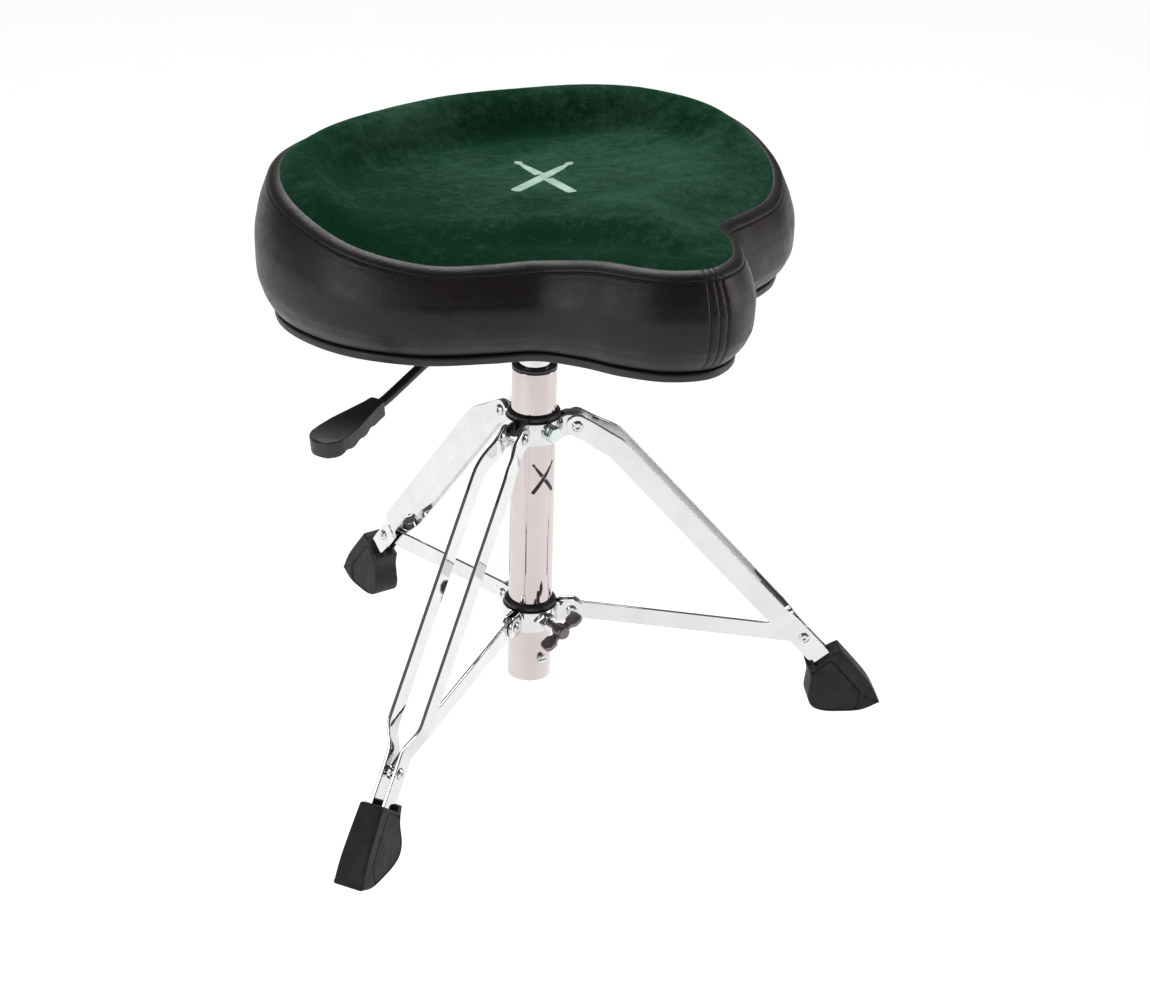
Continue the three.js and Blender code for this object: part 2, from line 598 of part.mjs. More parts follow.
function lever() {
  const group = new THREE.Group();
  group.rotation.z = radians(LEVER_AZIMUTH);
  throne.add(group);

  const octagon = [0, 1, 2, 3, 4, 5, 6, 7].map((k) => (Math.PI / 4) * k);
  const sections = LEVER_ROUTE.map(([r, z]) =>
    octagon.map((a) => [r, LEVER_ROD_R * Math.cos(a), z + LEVER_ROD_R * Math.sin(a)]));
  const bar = skinned(sections);
  add(group, 'lever_rod', cut(bar, pinY(2 + GAP, -8, 8, LEVER_PIVOT.r, LEVER_PIVOT.z)), blackSteel);

  const outline = new THREE.Shape();
  outline.moveTo(0, -6.5);
  outline.bezierCurveTo(20, -8, 34, -GRIP_HALF_WIDTH, GRIP_LENGTH - GRIP_HALF_WIDTH, -GRIP_HALF_WIDTH);
  outline.absarc(GRIP_LENGTH - GRIP_HALF_WIDTH, 0, GRIP_HALF_WIDTH, -Math.PI / 2, Math.PI / 2, false);
  outline.bezierCurveTo(34, GRIP_HALF_WIDTH, 20, 8, 0, 6.5);
  const body = new THREE.ExtrudeGeometry(outline, { depth: 13.5, bevelEnabled: false, curveSegments: 6 })
    .translate(0, 0, -7.5);
  const socketR = LEVER_ROD_R + GAP;
  const socket = skinned([-6, 50].map((r) =>
    octagon.map((a) => [r, socketR * Math.cos(a), socketR * Math.sin(a)])));
  const scallops = [24, 41, 58].map((r) => pinY(7, -25, 25, r, -12.5, 16));
  const [start, end] = LEVER_ROUTE.slice(-2);
  const droop = Math.atan2(start[1] - end[1], end[0] - start[0]);
  const grip = cut(body, socket, ...scallops).rotateY(droop).translate(start[0], 0, start[1]);
  add(group, 'lever_grip', grip, blackPlastic);
}

// ---------- seat ----------
function seatBase() {
  const [w, d] = PLATE_SIZE.map((size) => size / 2);
  const corner = 12;
  const shape = new THREE.Shape();
  shape.moveTo(-w + corner, -d);
  shape.lineTo(w - corner, -d);
  shape.absarc(w - corner, -d + corner, corner, -Math.PI / 2, 0, false);
  shape.absarc(w - corner, d - corner, corner, 0, Math.PI / 2, false);
  shape.absarc(-w + corner, d - corner, corner, Math.PI / 2, Math.PI, false);
  shape.absarc(-w + corner, -d + corner, corner, Math.PI, 1.5 * Math.PI, false);
  const options = { bevelEnabled: false, curveSegments: 4 };
  const plate = new THREE.ExtrudeGeometry(shape, { depth: PLATE_THICKNESS, ...options })
    .translate(0, 0, PLATE_BOTTOM);
  const board = new THREE.ExtrudeGeometry(flatOutline(-5), { depth: BOARD_THICKNESS, ...options })
    .translate(0, 0, BOARD_BOTTOM);
  const corners = [[-1, -1], [1, -1], [1, 1], [-1, 1]]
    .map(([i, j]) => [(i * BOLT_SPACING[0]) / 2, (j * BOLT_SPACING[1]) / 2]);
  const holes = () => corners.map(([x, y]) =>
    rod(HOLE_R, PLATE_BOTTOM - 1, BOARD_BOTTOM + 10, SMALL_ROUND).translate(x, y, 0));
  add(throne, 'seat_plate', cut(plate, ...holes()), blackSteel);
  add(throne, 'seat_board', cut(board, ...holes()), plywood);

  corners.forEach(([x, y], i) => {
    const under = PLATE_BOTTOM - GAP;
    const shank = rod(PIVOT_R, under - 2, BOARD_BOTTOM + 9, SMALL_ROUND);
    const head = rod(5.8, under - 4.5, under, 6);
    add(throne, `seat_bolt_${i + 1}`, join(shank, head).translate(x, y, 0), zinc);
  });
}

function seatCushion() {
  const middle = (TRIM_BOTTOM + TRIM_TOP) / 2;
  const trim = [
    seatLoop(-4.6, TRIM_BOTTOM), seatLoop(-1.5, TRIM_BOTTOM), seatLoop(0, middle), seatLoop(-1.5, TRIM_TOP),
    seatLoop(-4.6, TRIM_TOP),
  ];
  add(throne, 'edge_trim', looped(trim, true), vinyl);

  const climb = (share) => (y) => TRIM_TOP + GAP + (seamZ(y) - TRIM_TOP - GAP) * share;
  const side = [
    seatLoop(-2, climb(0)), seatLoop(6, climb(0.1)), seatLoop(0.85 * BULGE, climb(0.28)),
    seatLoop(BULGE, climb(0.5)), seatLoop(0.75 * BULGE, climb(0.78)), seatLoop(SEAM_OUT, climb(1)),
    seatLoop(SEAM_OUT - SIDE_WALL, climb(1)), seatLoop(BULGE - SIDE_WALL, climb(0.5)),
    seatLoop(-4, climb(0.1)), seatLoop(-5, climb(0)),
  ];
  add(throne, 'side_cover', looped(side, true), vinyl);

  const lift = (rise) => (y) => edgeZ(y) + rise;
  const inner = INLAY_OUT + GAP;
  const border = [
    seatLoop(SEAM_OUT - SIDE_WALL, lift(GAP - SEAM_DROP)), seatLoop(SEAM_OUT, lift(GAP - SEAM_DROP)),
    seatLoop(SEAM_OUT - 2, lift(-1.5)), seatLoop(inner, lift(0)), seatLoop(inner, lift(-3)),
  ];
  add(throne, 'top_border', looped(border, true), vinyl);

  const steps = [1, 0.95, CREST_K, 0.78, 0.6, 0.4, 0.2];
  const centreAt = (z) => [[DISH_CENTRE.x, DISH_CENTRE.y, z]];
  const top = [
    centreAt(DISH_Z - PANEL_WALL), ...steps.slice().reverse().map((k) => dishLoop(k, PANEL_WALL)),
    ...steps.map((k) => dishLoop(k, 0)), centreAt(DISH_Z),
  ];
  add(throne, 'top_panel', looped(top, false), velour);

  const foamDrop = PANEL_WALL + 3 * GAP;
  const foamBottom = BOARD_BOTTOM + BOARD_THICKNESS + GAP;
  const body = [
    centreAt(foamBottom), seatLoop(-6, foamBottom), seatLoop(BULGE - SIDE_WALL - 2.5, climb(0.5)),
    seatLoop(-3, climb(0.92)), ...steps.map((k) => dishLoop(k, foamDrop)), centreAt(DISH_Z - foamDrop),
  ];
  add(throne, 'seat_foam', looped(body, false), foam);
}

column();
gasSpring();
upperCollar();
lowerCollar();
legs();
mechanism();
lever();
seatBase();
seatCushion();

export default throne;
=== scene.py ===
"""Looks of the drum throne: a velour and vinyl saddle seat on a chrome column with a folding tripod.

Helpers work in millimetres, in a frame whose Z axis is the column's. metres() moves them into the part's.
"""

import json
import math

import bmesh
import bpy
import numpy as np
from mathutils import Matrix, Vector
from mathutils.kdtree import KDTree


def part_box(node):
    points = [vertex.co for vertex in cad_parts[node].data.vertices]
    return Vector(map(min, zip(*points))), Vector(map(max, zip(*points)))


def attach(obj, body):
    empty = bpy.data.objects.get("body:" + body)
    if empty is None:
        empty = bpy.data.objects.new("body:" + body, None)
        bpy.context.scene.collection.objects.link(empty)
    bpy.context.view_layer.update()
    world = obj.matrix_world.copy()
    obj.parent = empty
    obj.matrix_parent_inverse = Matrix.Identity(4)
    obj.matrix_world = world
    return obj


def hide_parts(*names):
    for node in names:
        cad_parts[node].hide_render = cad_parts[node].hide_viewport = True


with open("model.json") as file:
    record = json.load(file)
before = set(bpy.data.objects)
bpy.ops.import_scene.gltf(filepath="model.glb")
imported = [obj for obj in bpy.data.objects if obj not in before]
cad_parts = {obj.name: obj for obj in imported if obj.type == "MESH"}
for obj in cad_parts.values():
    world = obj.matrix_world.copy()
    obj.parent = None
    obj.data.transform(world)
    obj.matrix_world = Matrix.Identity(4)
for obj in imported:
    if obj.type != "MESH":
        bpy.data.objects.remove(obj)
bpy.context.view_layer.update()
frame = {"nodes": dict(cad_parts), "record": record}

# ---------- driving dimensions, in millimetres ----------
MM = 0.001
FLOOR_Z = -112                   # just under the boots when the tripod is folded
STUDIO_REACH = 25000
TUBE_LOW, TUBE_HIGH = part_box("column_tube")
COLUMN_X = (TUBE_LOW.x + TUBE_HIGH.x) / 2 / MM
COLUMN_Y = (TUBE_LOW.y + TUBE_HIGH.y) / 2 / MM

TUBE_R = 19.05
TUBE_WALL = 1.6
TUBE_BOTTOM = 41.3
TUBE_TOP = 331.5
CYLINDER_R = 14
CYLINDER_BOTTOM = 95
CYLINDER_TOP = 372
CYLINDER_BORE_R = 14.3           # bore of the bushing and the hub round the cylinder
BUSHING_BOTTOM = 272
BUSHING_TOP = 335
SHAFT_R = 5
SHAFT_BOTTOM = 42.5
BAND_INNER = 21.5
BAND_OUTER = 24
SLEEVE_INNER = 19.35
SLEEVE_OUTER = 21.2
SLEEVE_RISE = 6
UPPER_BAND = (269, 289)
LOWER_BAND = (92, 111)
BAND_THICKNESS = 2.5
TUBE_SCREW_Z = 63
TUBE_SCREW_R = 4.3
PIN_R = 2.9
WING_TILT = -57                  # turn of the wings about the screw, in degrees

LEG_AZIMUTHS = {"left": -30, "rear": 90, "right": 210}
LEG_PIVOT = (36.36, 281.24)      # (distance from the column's axis, height)
KNEE = (69.8, 262.7)
STRUT_PIVOT = (243.14, 73.18)
COLLAR_PIVOT = (36.26, 103.31)
FOOT_END = (273, 37.5)
BAR_HALF_WIDTH = 9.5
BAR_THICKNESS = 3
BAR_SIDE_TOP = 8.8
BAR_SIDE_MIDDLE = 14.3
BAR_SIDE_FOOT = 5.5
STRUT_HALF_WIDTH = 8
STRUT_END_HALF = 6.5             # half width of its end at the foot
STRUT_THICKNESS = 3

# The boot's outline in the leg's plane: heel and sole as one curve, toe, and top.
BOOT_SOLE = [(247, 47), (250.8, 34), (250.2, 24), (250, 14), (254, 5.5), (264, 1), (280, 0), (299, 1.2),
             (315.5, 8.5)]
BOOT_TOE = [(315.5, 8.5), (306.2, 26), (292.5, 43.5), (276.5, 62)]
BOOT_GROOVE = [(240, 29.5), (268.6, 53.2), (297, 19.5), (296, 9), (291, -6)]
BOOT_MIDDLE = (279, 27)
BOOT_MOUTH = (261.8, 54.5)       # where the bars enter
BOOT_NOTCH_DEPTH = 2.6
BOOT_NOTCH_HALF = 10.6
BOOT_EDGE = 2.2                  # rounding of its edges
BOOT_HALF_TOP = 10.5
BOOT_HALF_SOLE = 13.5
BOOT_TOP_Z = 62

TRIM_BOTTOM = 401
TRIM_TOP = 409
THIGH_Y = -112
THIGH_EDGE_Z = 477
NOSE_EDGE_Z = 486
REAR_EDGE_Z = 518
BULGE = 16
SEAM_OUT = 5                     # the stitched seam, measured outwards from the edge trim
SEAM_DROP = 6
INLAY_OUT = -4

LEVER_AZIMUTH = 202
# The lever's (distance from the column, height) from its pivot's end to inside its grip.
LEVER_ROUTE = [(-3, 385.5), (44, 385.5), (78, 388.5), (112, 389.8), (138, 386.8), (200, 370.2), (208, 368.8),
               (255, 362.4)]
LEVER_ROD_R = 4
GRIP_LENGTH = 74
GRIP_NOSE = 59                   # where its round end starts
GRIP_NOSE_R = 15
GRIP_BACK = 2.6                  # length of its rounded back end
GRIP_DIPS = (24, 41, 58)         # the finger dips
HUB_BOTTOM = 347
HUB_TOP = 398
GRIP_TOP = 6
GRIP_BOTTOM = -7.5


# ---------- mesh helpers ----------
def rotated(points, degrees):
    """Flat or solid points turned about Z. A piece's own X axis is a radius, so the angle is its azimuth."""
    c, s = math.cos(math.radians(degrees)), math.sin(math.radians(degrees))
    points = np.array(points, float)
    x, y = points[:, 0], points[:, 1]
    points[:, 0], points[:, 1] = x * c - y * s, x * s + y * c
    return points


def metres(points):
    return (np.asarray(points, float) + (COLUMN_X, COLUMN_Y, 0)) * MM


def linked(name, data):
    """A new object in the scene."""
    thing = bpy.data.objects.new(name, data)
    bpy.context.scene.collection.objects.link(thing)
    return thing


def shaded(mesh, sharp=35):
    """Smooth shading that breaks at edges sharper than that many degrees."""
    mesh.polygons.foreach_set("use_smooth", [True] * len(mesh.polygons))
    mesh.set_sharp_from_angle(angle=math.radians(sharp))


def solid(name, verts, faces, material, sharp=35):
    """A mesh object from points in the column's frame, in millimetres."""
    mesh = bpy.data.meshes.new(name)
    mesh.from_pydata(metres(verts).tolist(), [], [list(f) for f in faces])
    mesh.validate()
    tidy = bmesh.new()
    tidy.from_mesh(mesh)
    bmesh.ops.remove_doubles(tidy, verts=tidy.verts, dist=1e-6)
    bmesh.ops.recalc_face_normals(tidy, faces=tidy.faces)
    tidy.to_mesh(mesh)
    tidy.free()
    shaded(mesh, sharp)
    mesh.materials.append(material)
    return linked(name, mesh)


def dress(piece, body, slot, *nodes):
    """Rides the piece on its body and lets it stand for CAD nodes, which it hides. slot is not used."""
    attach(piece, body)
    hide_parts(*nodes)
    return piece


def add_piece(name, part, body, slot, *nodes, azimuth=0, look=None, sharp=35, work=None):
    """Makes, turns, works and dresses a (verts, faces) part, in its slot's look unless it has its own."""
    piece = solid(name, rotated(part[0], azimuth), part[1], look or SLOT_LOOKS[slot], sharp)
    if work:
        work(piece)
    return dress(piece, body, slot, *nodes)


def joined(*parts):
    """Several (verts, faces) as one."""
    verts, faces, start = [], [], 0
    for part_verts, part_faces in parts:
        verts.append(np.asarray(part_verts, float))
        faces += [[i + start for i in face] for face in part_faces]
        start += len(part_verts)
    return np.vstack(verts), faces


def loft(loops, closed=True, caps=True):
    """Skins equal-count loops. A closed skin has flat caps on its first and last loops."""
    count = len(loops[0])
    verts = np.vstack([np.asarray(loop, float) for loop in loops])
    faces = []
    steps = count if closed else count - 1
    for k in range(len(loops) - 1):
        for i in range(steps):
            j = (i + 1) % count
            faces.append((k * count + i, k * count + j, (k + 1) * count + j, (k + 1) * count + i))
    if caps:
        last = (len(loops) - 1) * count
        faces.append(tuple(range(count))[::-1])
        faces.append(tuple(last + i for i in range(count)))
    return verts, faces


def ringed(loops):
    """Skins loops that return to the first one, such as a ring's section carried round."""
    verts, faces = loft(loops, caps=False)
    count, last = len(loops[0]), len(loops) - 1
    for i in range(count):
        j = (i + 1) % count
        faces.append((last * count + i, last * count + j, j, i))
    return verts, faces


def fillet(points, radius, steps=3, closed=True):
    """A polyline with its corners rounded, each by the radius or as much as its sides leave room for."""
    rounded = []
    count = len(points)
    for i, corner in enumerate(points):
        if not closed and i in (0, count - 1):
            rounded.append(tuple(corner))
            continue
        p, a, b = (np.array(q, float) for q in (corner, points[i - 1], points[(i + 1) % count]))
        to_a, to_b = a - p, b - p
        length_a, length_b = np.linalg.norm(to_a), np.linalg.norm(to_b)
        to_a, to_b = to_a / length_a, to_b / length_b
        half = math.acos(max(-1, min(1, float(to_a @ to_b)))) / 2
        reach = min(radius / max(math.tan(half), 1e-6), 0.45 * length_a, 0.45 * length_b)
        enter, leave = p + to_a * reach, p + to_b * reach
        for t in np.arange(steps + 1) / steps:
            rounded.append(tuple((1 - t) ** 2 * enter + 2 * t * (1 - t) * p + t ** 2 * leave))
    return rounded


def lathe(profile, segments=72, radius=0.5):
    """A turned piece about Z. A profile that starts on the axis ends on it; any other closes on itself."""
    on_axis = profile[0][0] == 0
    profile = fillet(profile, radius, closed=not on_axis)
    loops = []
    for r, z in profile:
        angles = np.arange(segments) * 2 * math.pi / segments
        loops.append(np.column_stack([r * np.cos(angles), r * np.sin(angles), np.full(segments, z)]))
    return loft(loops, caps=False) if on_axis else ringed(loops)


def turned_to(part, axis, at=(0, 0, 0)):
    """Moves a lathe part so that its Z axis lies along axis and its origin is at the point."""
    turn = Vector((0, 0, 1)).rotation_difference(Vector(axis)).to_matrix()
    return part[0] @ np.array(turn).T + np.asarray(at, float), part[1]


def facing_front(part, height):
    """Turns a lathe part so that its axis points from the column to -Y, at that height."""
    return turned_to(part, (0, -1, 0), (0, 0, height))


def across(part, pivot, sign=1):
    """Lays a lathe part along a pivot of a leg, towards that side."""
    return turned_to(part, (0, sign, 0), (pivot[0], 0, pivot[1]))


def turned_round(part, azimuth):
    return rotated(part[0], azimuth), part[1]


def to_right(along):
    """Unit vectors to the right of flat directions."""
    right = np.column_stack([along[:, 1], -along[:, 0]])
    return right / (np.linalg.norm(right, axis=1)[:, None] + 1e-9)


def loop_normals(loop):
    return to_right(np.roll(loop, -1, 0) - np.roll(loop, 1, 0))


def directions(line):
    """Unit vectors along an open line, one at each of its points."""
    along = np.vstack([line[1] - line[0], line[2:] - line[:-2], line[-1] - line[-2]])
    return along / np.linalg.norm(along, axis=1)[:, None]


def distances(line):
    """How far along a line each of its points is."""
    steps = np.linalg.norm(np.diff(np.array(line, float), axis=0), axis=1)
    return np.concatenate([[0], np.cumsum(steps)])


def line_distance(points, starts, ends):
    """Distance of each point from the nearest of the spans between starts and ends."""
    best = np.full(len(points), 1e9)
    for a, d in zip(starts, ends - starts):
        t = np.clip(((points - a) @ d) / max(d @ d, 1e-9), 0, 1)
        best = np.minimum(best, np.linalg.norm(points - a - t[:, None] * d, axis=1))
    return best


def round_end(radius, past, least=0.9):
    """Half width of a round end at a distance past its centre, never quite nothing."""
    return math.sqrt(max(radius ** 2 - max(0, past) ** 2, least))


def plate(outline, side_a, side_b, bevel=0.6):
    """A flat plate in the radial plane between two sides, its edges rounded. The outline is convex."""
    outline = np.array(outline, float)
    normal = loop_normals(outline)
    if ((outline - outline.mean(0)) * normal).sum() < 0:
        normal = -normal
    loops = []
    for angle in np.radians((0, 30, 60, 90)):
        loops.append((bevel * (1 - math.sin(angle)), side_a + bevel * (1 - math.cos(angle))))
    loops += [(inset, side_b - (side - side_a)) for inset, side in reversed(loops)]
    return loft([np.column_stack([outline[:, 0] - normal[:, 0] * inset, np.full(len(outline), side),
                                  outline[:, 1] - normal[:, 1] * inset]) for inset, side in loops])


def catmull(points, per_span=8, closed=False):
    """A centripetal curve through the points, per_span steps between two."""
    points = [np.array(p, float) for p in points]
    count = len(points)
    out = []
    for i in range(count if closed else count - 1):
        around = [points[(i + k) % count] for k in (-1, 0, 1, 2)]
        if not closed and i == 0:
            around[0] = 2 * around[1] - around[2]
        if not closed and i == count - 2:
            around[3] = 2 * around[2] - around[1]
        knots = np.cumsum([0] + [max(np.linalg.norm(b - a) ** 0.5, 1e-6) for a, b in zip(around, around[1:])])
        for step in range(per_span):
            t = knots[1] + (knots[2] - knots[1]) * step / per_span
            level = around
            for lows, highs in ((knots[:3], knots[1:]), (knots[:2], knots[2:]), (knots[1:2], knots[2:3])):
                level = [((high - t) * p + (t - low) * q) / (high - low)
                         for low, high, p, q in zip(lows, highs, level, level[1:])]
            out.append(level[0])
    if not closed:
        out.append(points[-1])
    return np.array(out)


def resampled(points, spacing):
    """A line's points spread evenly, about that far apart."""
    points = np.array(points, float)
    run = distances(points)
    places = np.linspace(0, run[-1], max(3, int(run[-1] / spacing)))
    return np.column_stack([np.interp(places, run, points[:, k]) for k in range(points.shape[1])])


def smooth(t):
    t = np.clip(t, 0, 1)
    return t * t * (3 - 2 * t)


# ---------- materials ----------
class Shader:
    """A Principled material with short calls for its procedural nodes, all in object space, in metres."""

    def __init__(self, name, **sockets):
        self.material = bpy.data.materials.new(name)
        self.material.use_nodes = True
        self.tree = self.material.node_tree
        self.bsdf = self.tree.nodes["Principled BSDF"]
        self.place = self.tree.nodes.new("ShaderNodeTexCoord").outputs["Object"]
        self.normal = {}
        for socket, value in sockets.items():
            self.bsdf.inputs[socket.replace("_", " ")].default_value = value

    def node(self, kind, inputs, **settings):
        """A node. inputs gives each socket a value, or the output that is linked to it."""
        made = self.tree.nodes.new(kind)
        for key, value in settings.items():
            setattr(made, key, value)
        for socket, value in inputs.items():
            if isinstance(value, bpy.types.NodeSocket):
                self.tree.links.new(value, made.inputs[socket])
            else:
                made.inputs[socket].default_value = value
        return made

    def noise(self, size_mm, detail=3, roughness=0.55, stretch=(1, 1, 1)):
        """Noise whose lumps are about size_mm across; stretch lengthens them along an axis."""
        squeeze = self.node("ShaderNodeMapping", {"Vector": self.place, "Scale": [1 / s for s in stretch]})
        made = self.node("ShaderNodeTexNoise", {"Vector": squeeze.outputs["Vector"], "Scale": 1000 / size_mm,
                                                "Detail": detail, "Roughness": roughness})
        return made.outputs["Fac"]

    def cells(self, size_mm):
        inputs = {"Vector": self.place, "Scale": 1000 / size_mm}
        return self.node("ShaderNodeTexVoronoi", inputs, feature="F1").outputs["Distance"]

    def spread(self, value, low, high, from_low=0.3, from_high=0.7):
        made = self.node("ShaderNodeMapRange", {"Value": value, "From Min": from_low, "From Max": from_high,
                                                "To Min": low, "To Max": high})
        return made.outputs["Result"]

    def colour(self, value, dark, light, from_low=0.35, from_high=0.65):
        ramp = self.node("ShaderNodeValToRGB", {"Fac": value})
        for end, place, shade in zip(ramp.color_ramp.elements, (from_low, from_high), (dark, light)):
            end.position = place
            end.color = (*shade, 1)
        return ramp.outputs["Color"]

    def near(self, place, inner_mm, outer_mm, amount):
        """amount around a place in the column's frame, fading to nothing at the outer distance."""
        away = self.node("ShaderNodeVectorMath", {0: self.place, 1: metres([place])[0]}, operation="DISTANCE")
        return self.spread(away.outputs["Value"], amount, 0, inner_mm * MM, outer_mm * MM)

    def total(self, *values):
        running = values[0]
        for value in values[1:]:
            running = self.node("ShaderNodeMath", {0: running, 1: value}, operation="ADD").outputs[0]
        return running

    def mixed(self, first, second, share):
        mix = self.node("ShaderNodeMix", {"Factor": share, "A": first, "B": second}, data_type="RGBA")
        return mix.outputs["Result"]

    def paint(self, colour):
        self.tree.links.new(colour, self.bsdf.inputs["Base Color"])

    def rough(self, value, low, high):
        self.tree.links.new(self.spread(value, low, high), self.bsdf.inputs["Roughness"])

    def bump(self, value, depth_mm):
        """Relief on top of the relief there is already."""
        inputs = {"Height": value, "Distance": depth_mm * MM, "Strength": 1}
        made = self.node("ShaderNodeBump", inputs | self.normal)
        self.normal = {"Normal": made.outputs["Normal"]}
        self.tree.links.new(made.outputs["Normal"], self.bsdf.inputs["Normal"])


def plated(name, dark, light, smoothest, roughest, ripple_mm):
    """Polished or plated metal: faint clouding in the colour, fine scratches in the gloss, a slow ripple."""
    made = Shader(name, Metallic=1.0)
    made.paint(made.colour(made.noise(30, 2), dark, light, 0.25, 0.75))
    made.rough(made.noise(6, 6, 0.7), smoothest, roughest)
    made.bump(made.noise(14, 1), ripple_mm)
    return made.material


def painted(name, dark, light, roughness, grain_mm, depth_mm, **sockets):
    """Painted, moulded or rubber surfaces: a fine grain, and gloss and colour that vary with wear."""
    made = Shader(name, **sockets)
    made.paint(made.colour(made.noise(22, 5), dark, light))
    made.rough(made.noise(9, 5, 0.65), roughness - 0.07, roughness + 0.09)
    made.bump(made.noise(grain_mm, 4, 0.6), depth_mm)
    return made.material


def vinyl_material():
    """Upholstery vinyl: a pebbled leather grain with small pores and a soft, uneven gloss."""
    made = Shader("black_vinyl", Specular_IOR_Level=0.36)
    made.paint(made.colour(made.noise(35, 4), (0.0085, 0.0058, 0.0057), (0.0165, 0.0117, 0.0115)))
    made.rough(made.noise(12, 6, 0.65), 0.35, 0.5)
    made.bump(made.noise(28, 3), 0.35)
    made.bump(made.cells(1.5), 0.09)
    made.bump(made.noise(0.7, 3, 0.7), 0.035)
    return made.material


def velour_material():
    """Deep green velour: a short pile, painted lighter where highlights and sheen fall on the dish, the
    nose's ridge, the rear rim and one side, with random lighter nap patches.
    """
    made = Shader("green_velour", Roughness=0.95, Sheen_Weight=0.1, Sheen_Roughness=0.5,
                  Sheen_Tint=(0.22, 0.62, 0.4, 1), Specular_IOR_Level=0.03)
    pile = made.colour(made.noise(1.3, 5, 0.8), (0.0002, 0.0128, 0.0048), (0.0075, 0.049, 0.0245), 0.32, 0.68)
    # The lighter pile colour, shown both as painted highlights and as random brushed nap.
    lit_and_brushed_pile = made.colour(made.noise(1.5, 5, 0.8), (0.0145, 0.056, 0.033), (0.054, 0.125, 0.087), 0.32, 0.68)
    patches = made.spread(made.noise(46, 7, 0.72, stretch=(1.6, 1, 1)), -0.4, 0.5, 0.3, 0.7)
    mottle = made.spread(made.noise(9, 5, 0.75), -0.3, 0.3, 0.35, 0.65)
    # Painted highlights: (place, inner and outer distance, amount) of lighter pile where light and sheen
    # fall.
    painted_highlight_spots = [((90, -30, 492), 25, 130, 0.68), ((20, -110, 497), 10, 66, 0.58),
              ((-60, 128, 528), 15, 90, 0.5), ((130, 90, 524), 10, 70, 0.35), ((-20, 10, 492), 10, 95, 0.42)]
    # Painted highlights added to random nap patches and mottle; more of them shows more of the lighter pile.
    highlights_and_nap = made.total(*(made.near(*spot) for spot in painted_highlight_spots), patches, mottle)
    made.paint(made.mixed(pile, lit_and_brushed_pile, made.spread(highlights_and_nap, 0, 1, 0, 1)))
    made.bump(made.noise(9, 5, 0.75), 0.3)
    made.bump(made.noise(0.9, 3, 0.8), 0.22)
    return made.material


def plywood_material():
    """Plywood stained black: long grain along X shows through the stain."""
    made = Shader("plywood", Roughness=0.6)
    grain = made.noise(3.5, 6, 0.6, stretch=(14, 1, 1))
    made.paint(made.colour(grain, (0.013, 0.01, 0.008), (0.038, 0.029, 0.023), 0.3, 0.7))
    made.bump(grain, 0.12)
    return made.material


# The look of each material slot, and the looks of pieces that differ from their slot's.
SLOT_LOOKS = {
    "chrome": plated("chrome", (0.72, 0.72, 0.725), (0.80, 0.80, 0.805), 0.02, 0.07, 0.012),
    "zinc_plate": plated("zinc_plate", (0.56, 0.66, 0.62), (0.80, 0.88, 0.84), 0.14, 0.3, 0.03),
    "bright_steel": plated("bright_steel", (0.62, 0.62, 0.63), (0.76, 0.76, 0.77), 0.1, 0.22, 0.02),
    "grey_casting": painted("grey_casting", (0.17, 0.15, 0.15), (0.28, 0.25, 0.25), 0.36, 0.9, 0.05,
                            Metallic=0.8),
    "black_steel": painted("black_powder_coat", (0.012, 0.011, 0.011), (0.02, 0.018, 0.018), 0.36, 0.8, 0.05),
    "black_plastic": painted("black_plastic", (0.014, 0.011, 0.011), (0.024, 0.019, 0.019), 0.44, 0.6, 0.03),
    "black_nylon": painted("black_nylon", (0.011, 0.009, 0.009), (0.019, 0.015, 0.015), 0.4, 0.7, 0.02),
    "black_rubber": painted("black_rubber", (0.010, 0.0075, 0.0077), (0.023, 0.0175, 0.018), 0.6, 0.5, 0.07,
                            Specular_IOR_Level=0.35),
    "foam": painted("foam", (0.62, 0.55, 0.33), (0.75, 0.69, 0.45), 0.9, 1.2, 0.4),
    "black_vinyl": vinyl_material(),
    "green_velour": velour_material(),
    "plywood": plywood_material(),
}
# The tube's chrome: a darker, pinkish copy of the chrome look, its colour holding painted reflection and
# painted shade.
TUBE_CHROME_PAINTED_TINT = plated("tube_chrome", (0.63, 0.56, 0.555), (0.665, 0.605, 0.60), 0.03, 0.08, 0.004)
THREAD = painted("black_thread", (0.008, 0.006, 0.007), (0.02, 0.016, 0.017), 0.6, 0.4, 0.1)
MOTIF = painted("pale_print", (0.33, 0.52, 0.42), (0.52, 0.72, 0.6), 0.85, 0.6, 0.1)
DECAL = painted("dark_print", (0.012, 0.01, 0.01), (0.03, 0.026, 0.026), 0.5, 0.6, 0.01)


def dress_cad_nodes():
    """Every CAD node gets its slot's look and smooth shading, for those that no piece stands for."""
    slots = {part["node"]: part["material_slot"] for part in frame["record"]["subparts"]}
    for name, node in frame["nodes"].items():
        node.data.materials.clear()
        node.data.materials.append(SLOT_LOOKS[slots[name]])
        shaded(node.data)


# ---------- camera, lights and floor ----------
def camera():
    """The camera at the product's three-quarter view from the front left, looking down at it."""
    place = (-942.2, -1390.1, 1016.5)
    right = Vector((0.8323, -0.5541, 0.0174))
    up = Vector((0.2253, 0.3668, 0.9026))
    ahead = Vector((0.5065, 0.7473, -0.4301))
    data = bpy.data.cameras.new("camera")
    data.sensor_width = 36
    data.lens = 68.32
    data.shift_x = 0.03726
    data.shift_y = -0.00288
    turn = Matrix((right, up, -ahead)).transposed().to_4x4()
    made = linked("camera", data)
    made.matrix_world = Matrix.Translation(metres([place])[0]) @ turn
    bpy.context.scene.camera = made


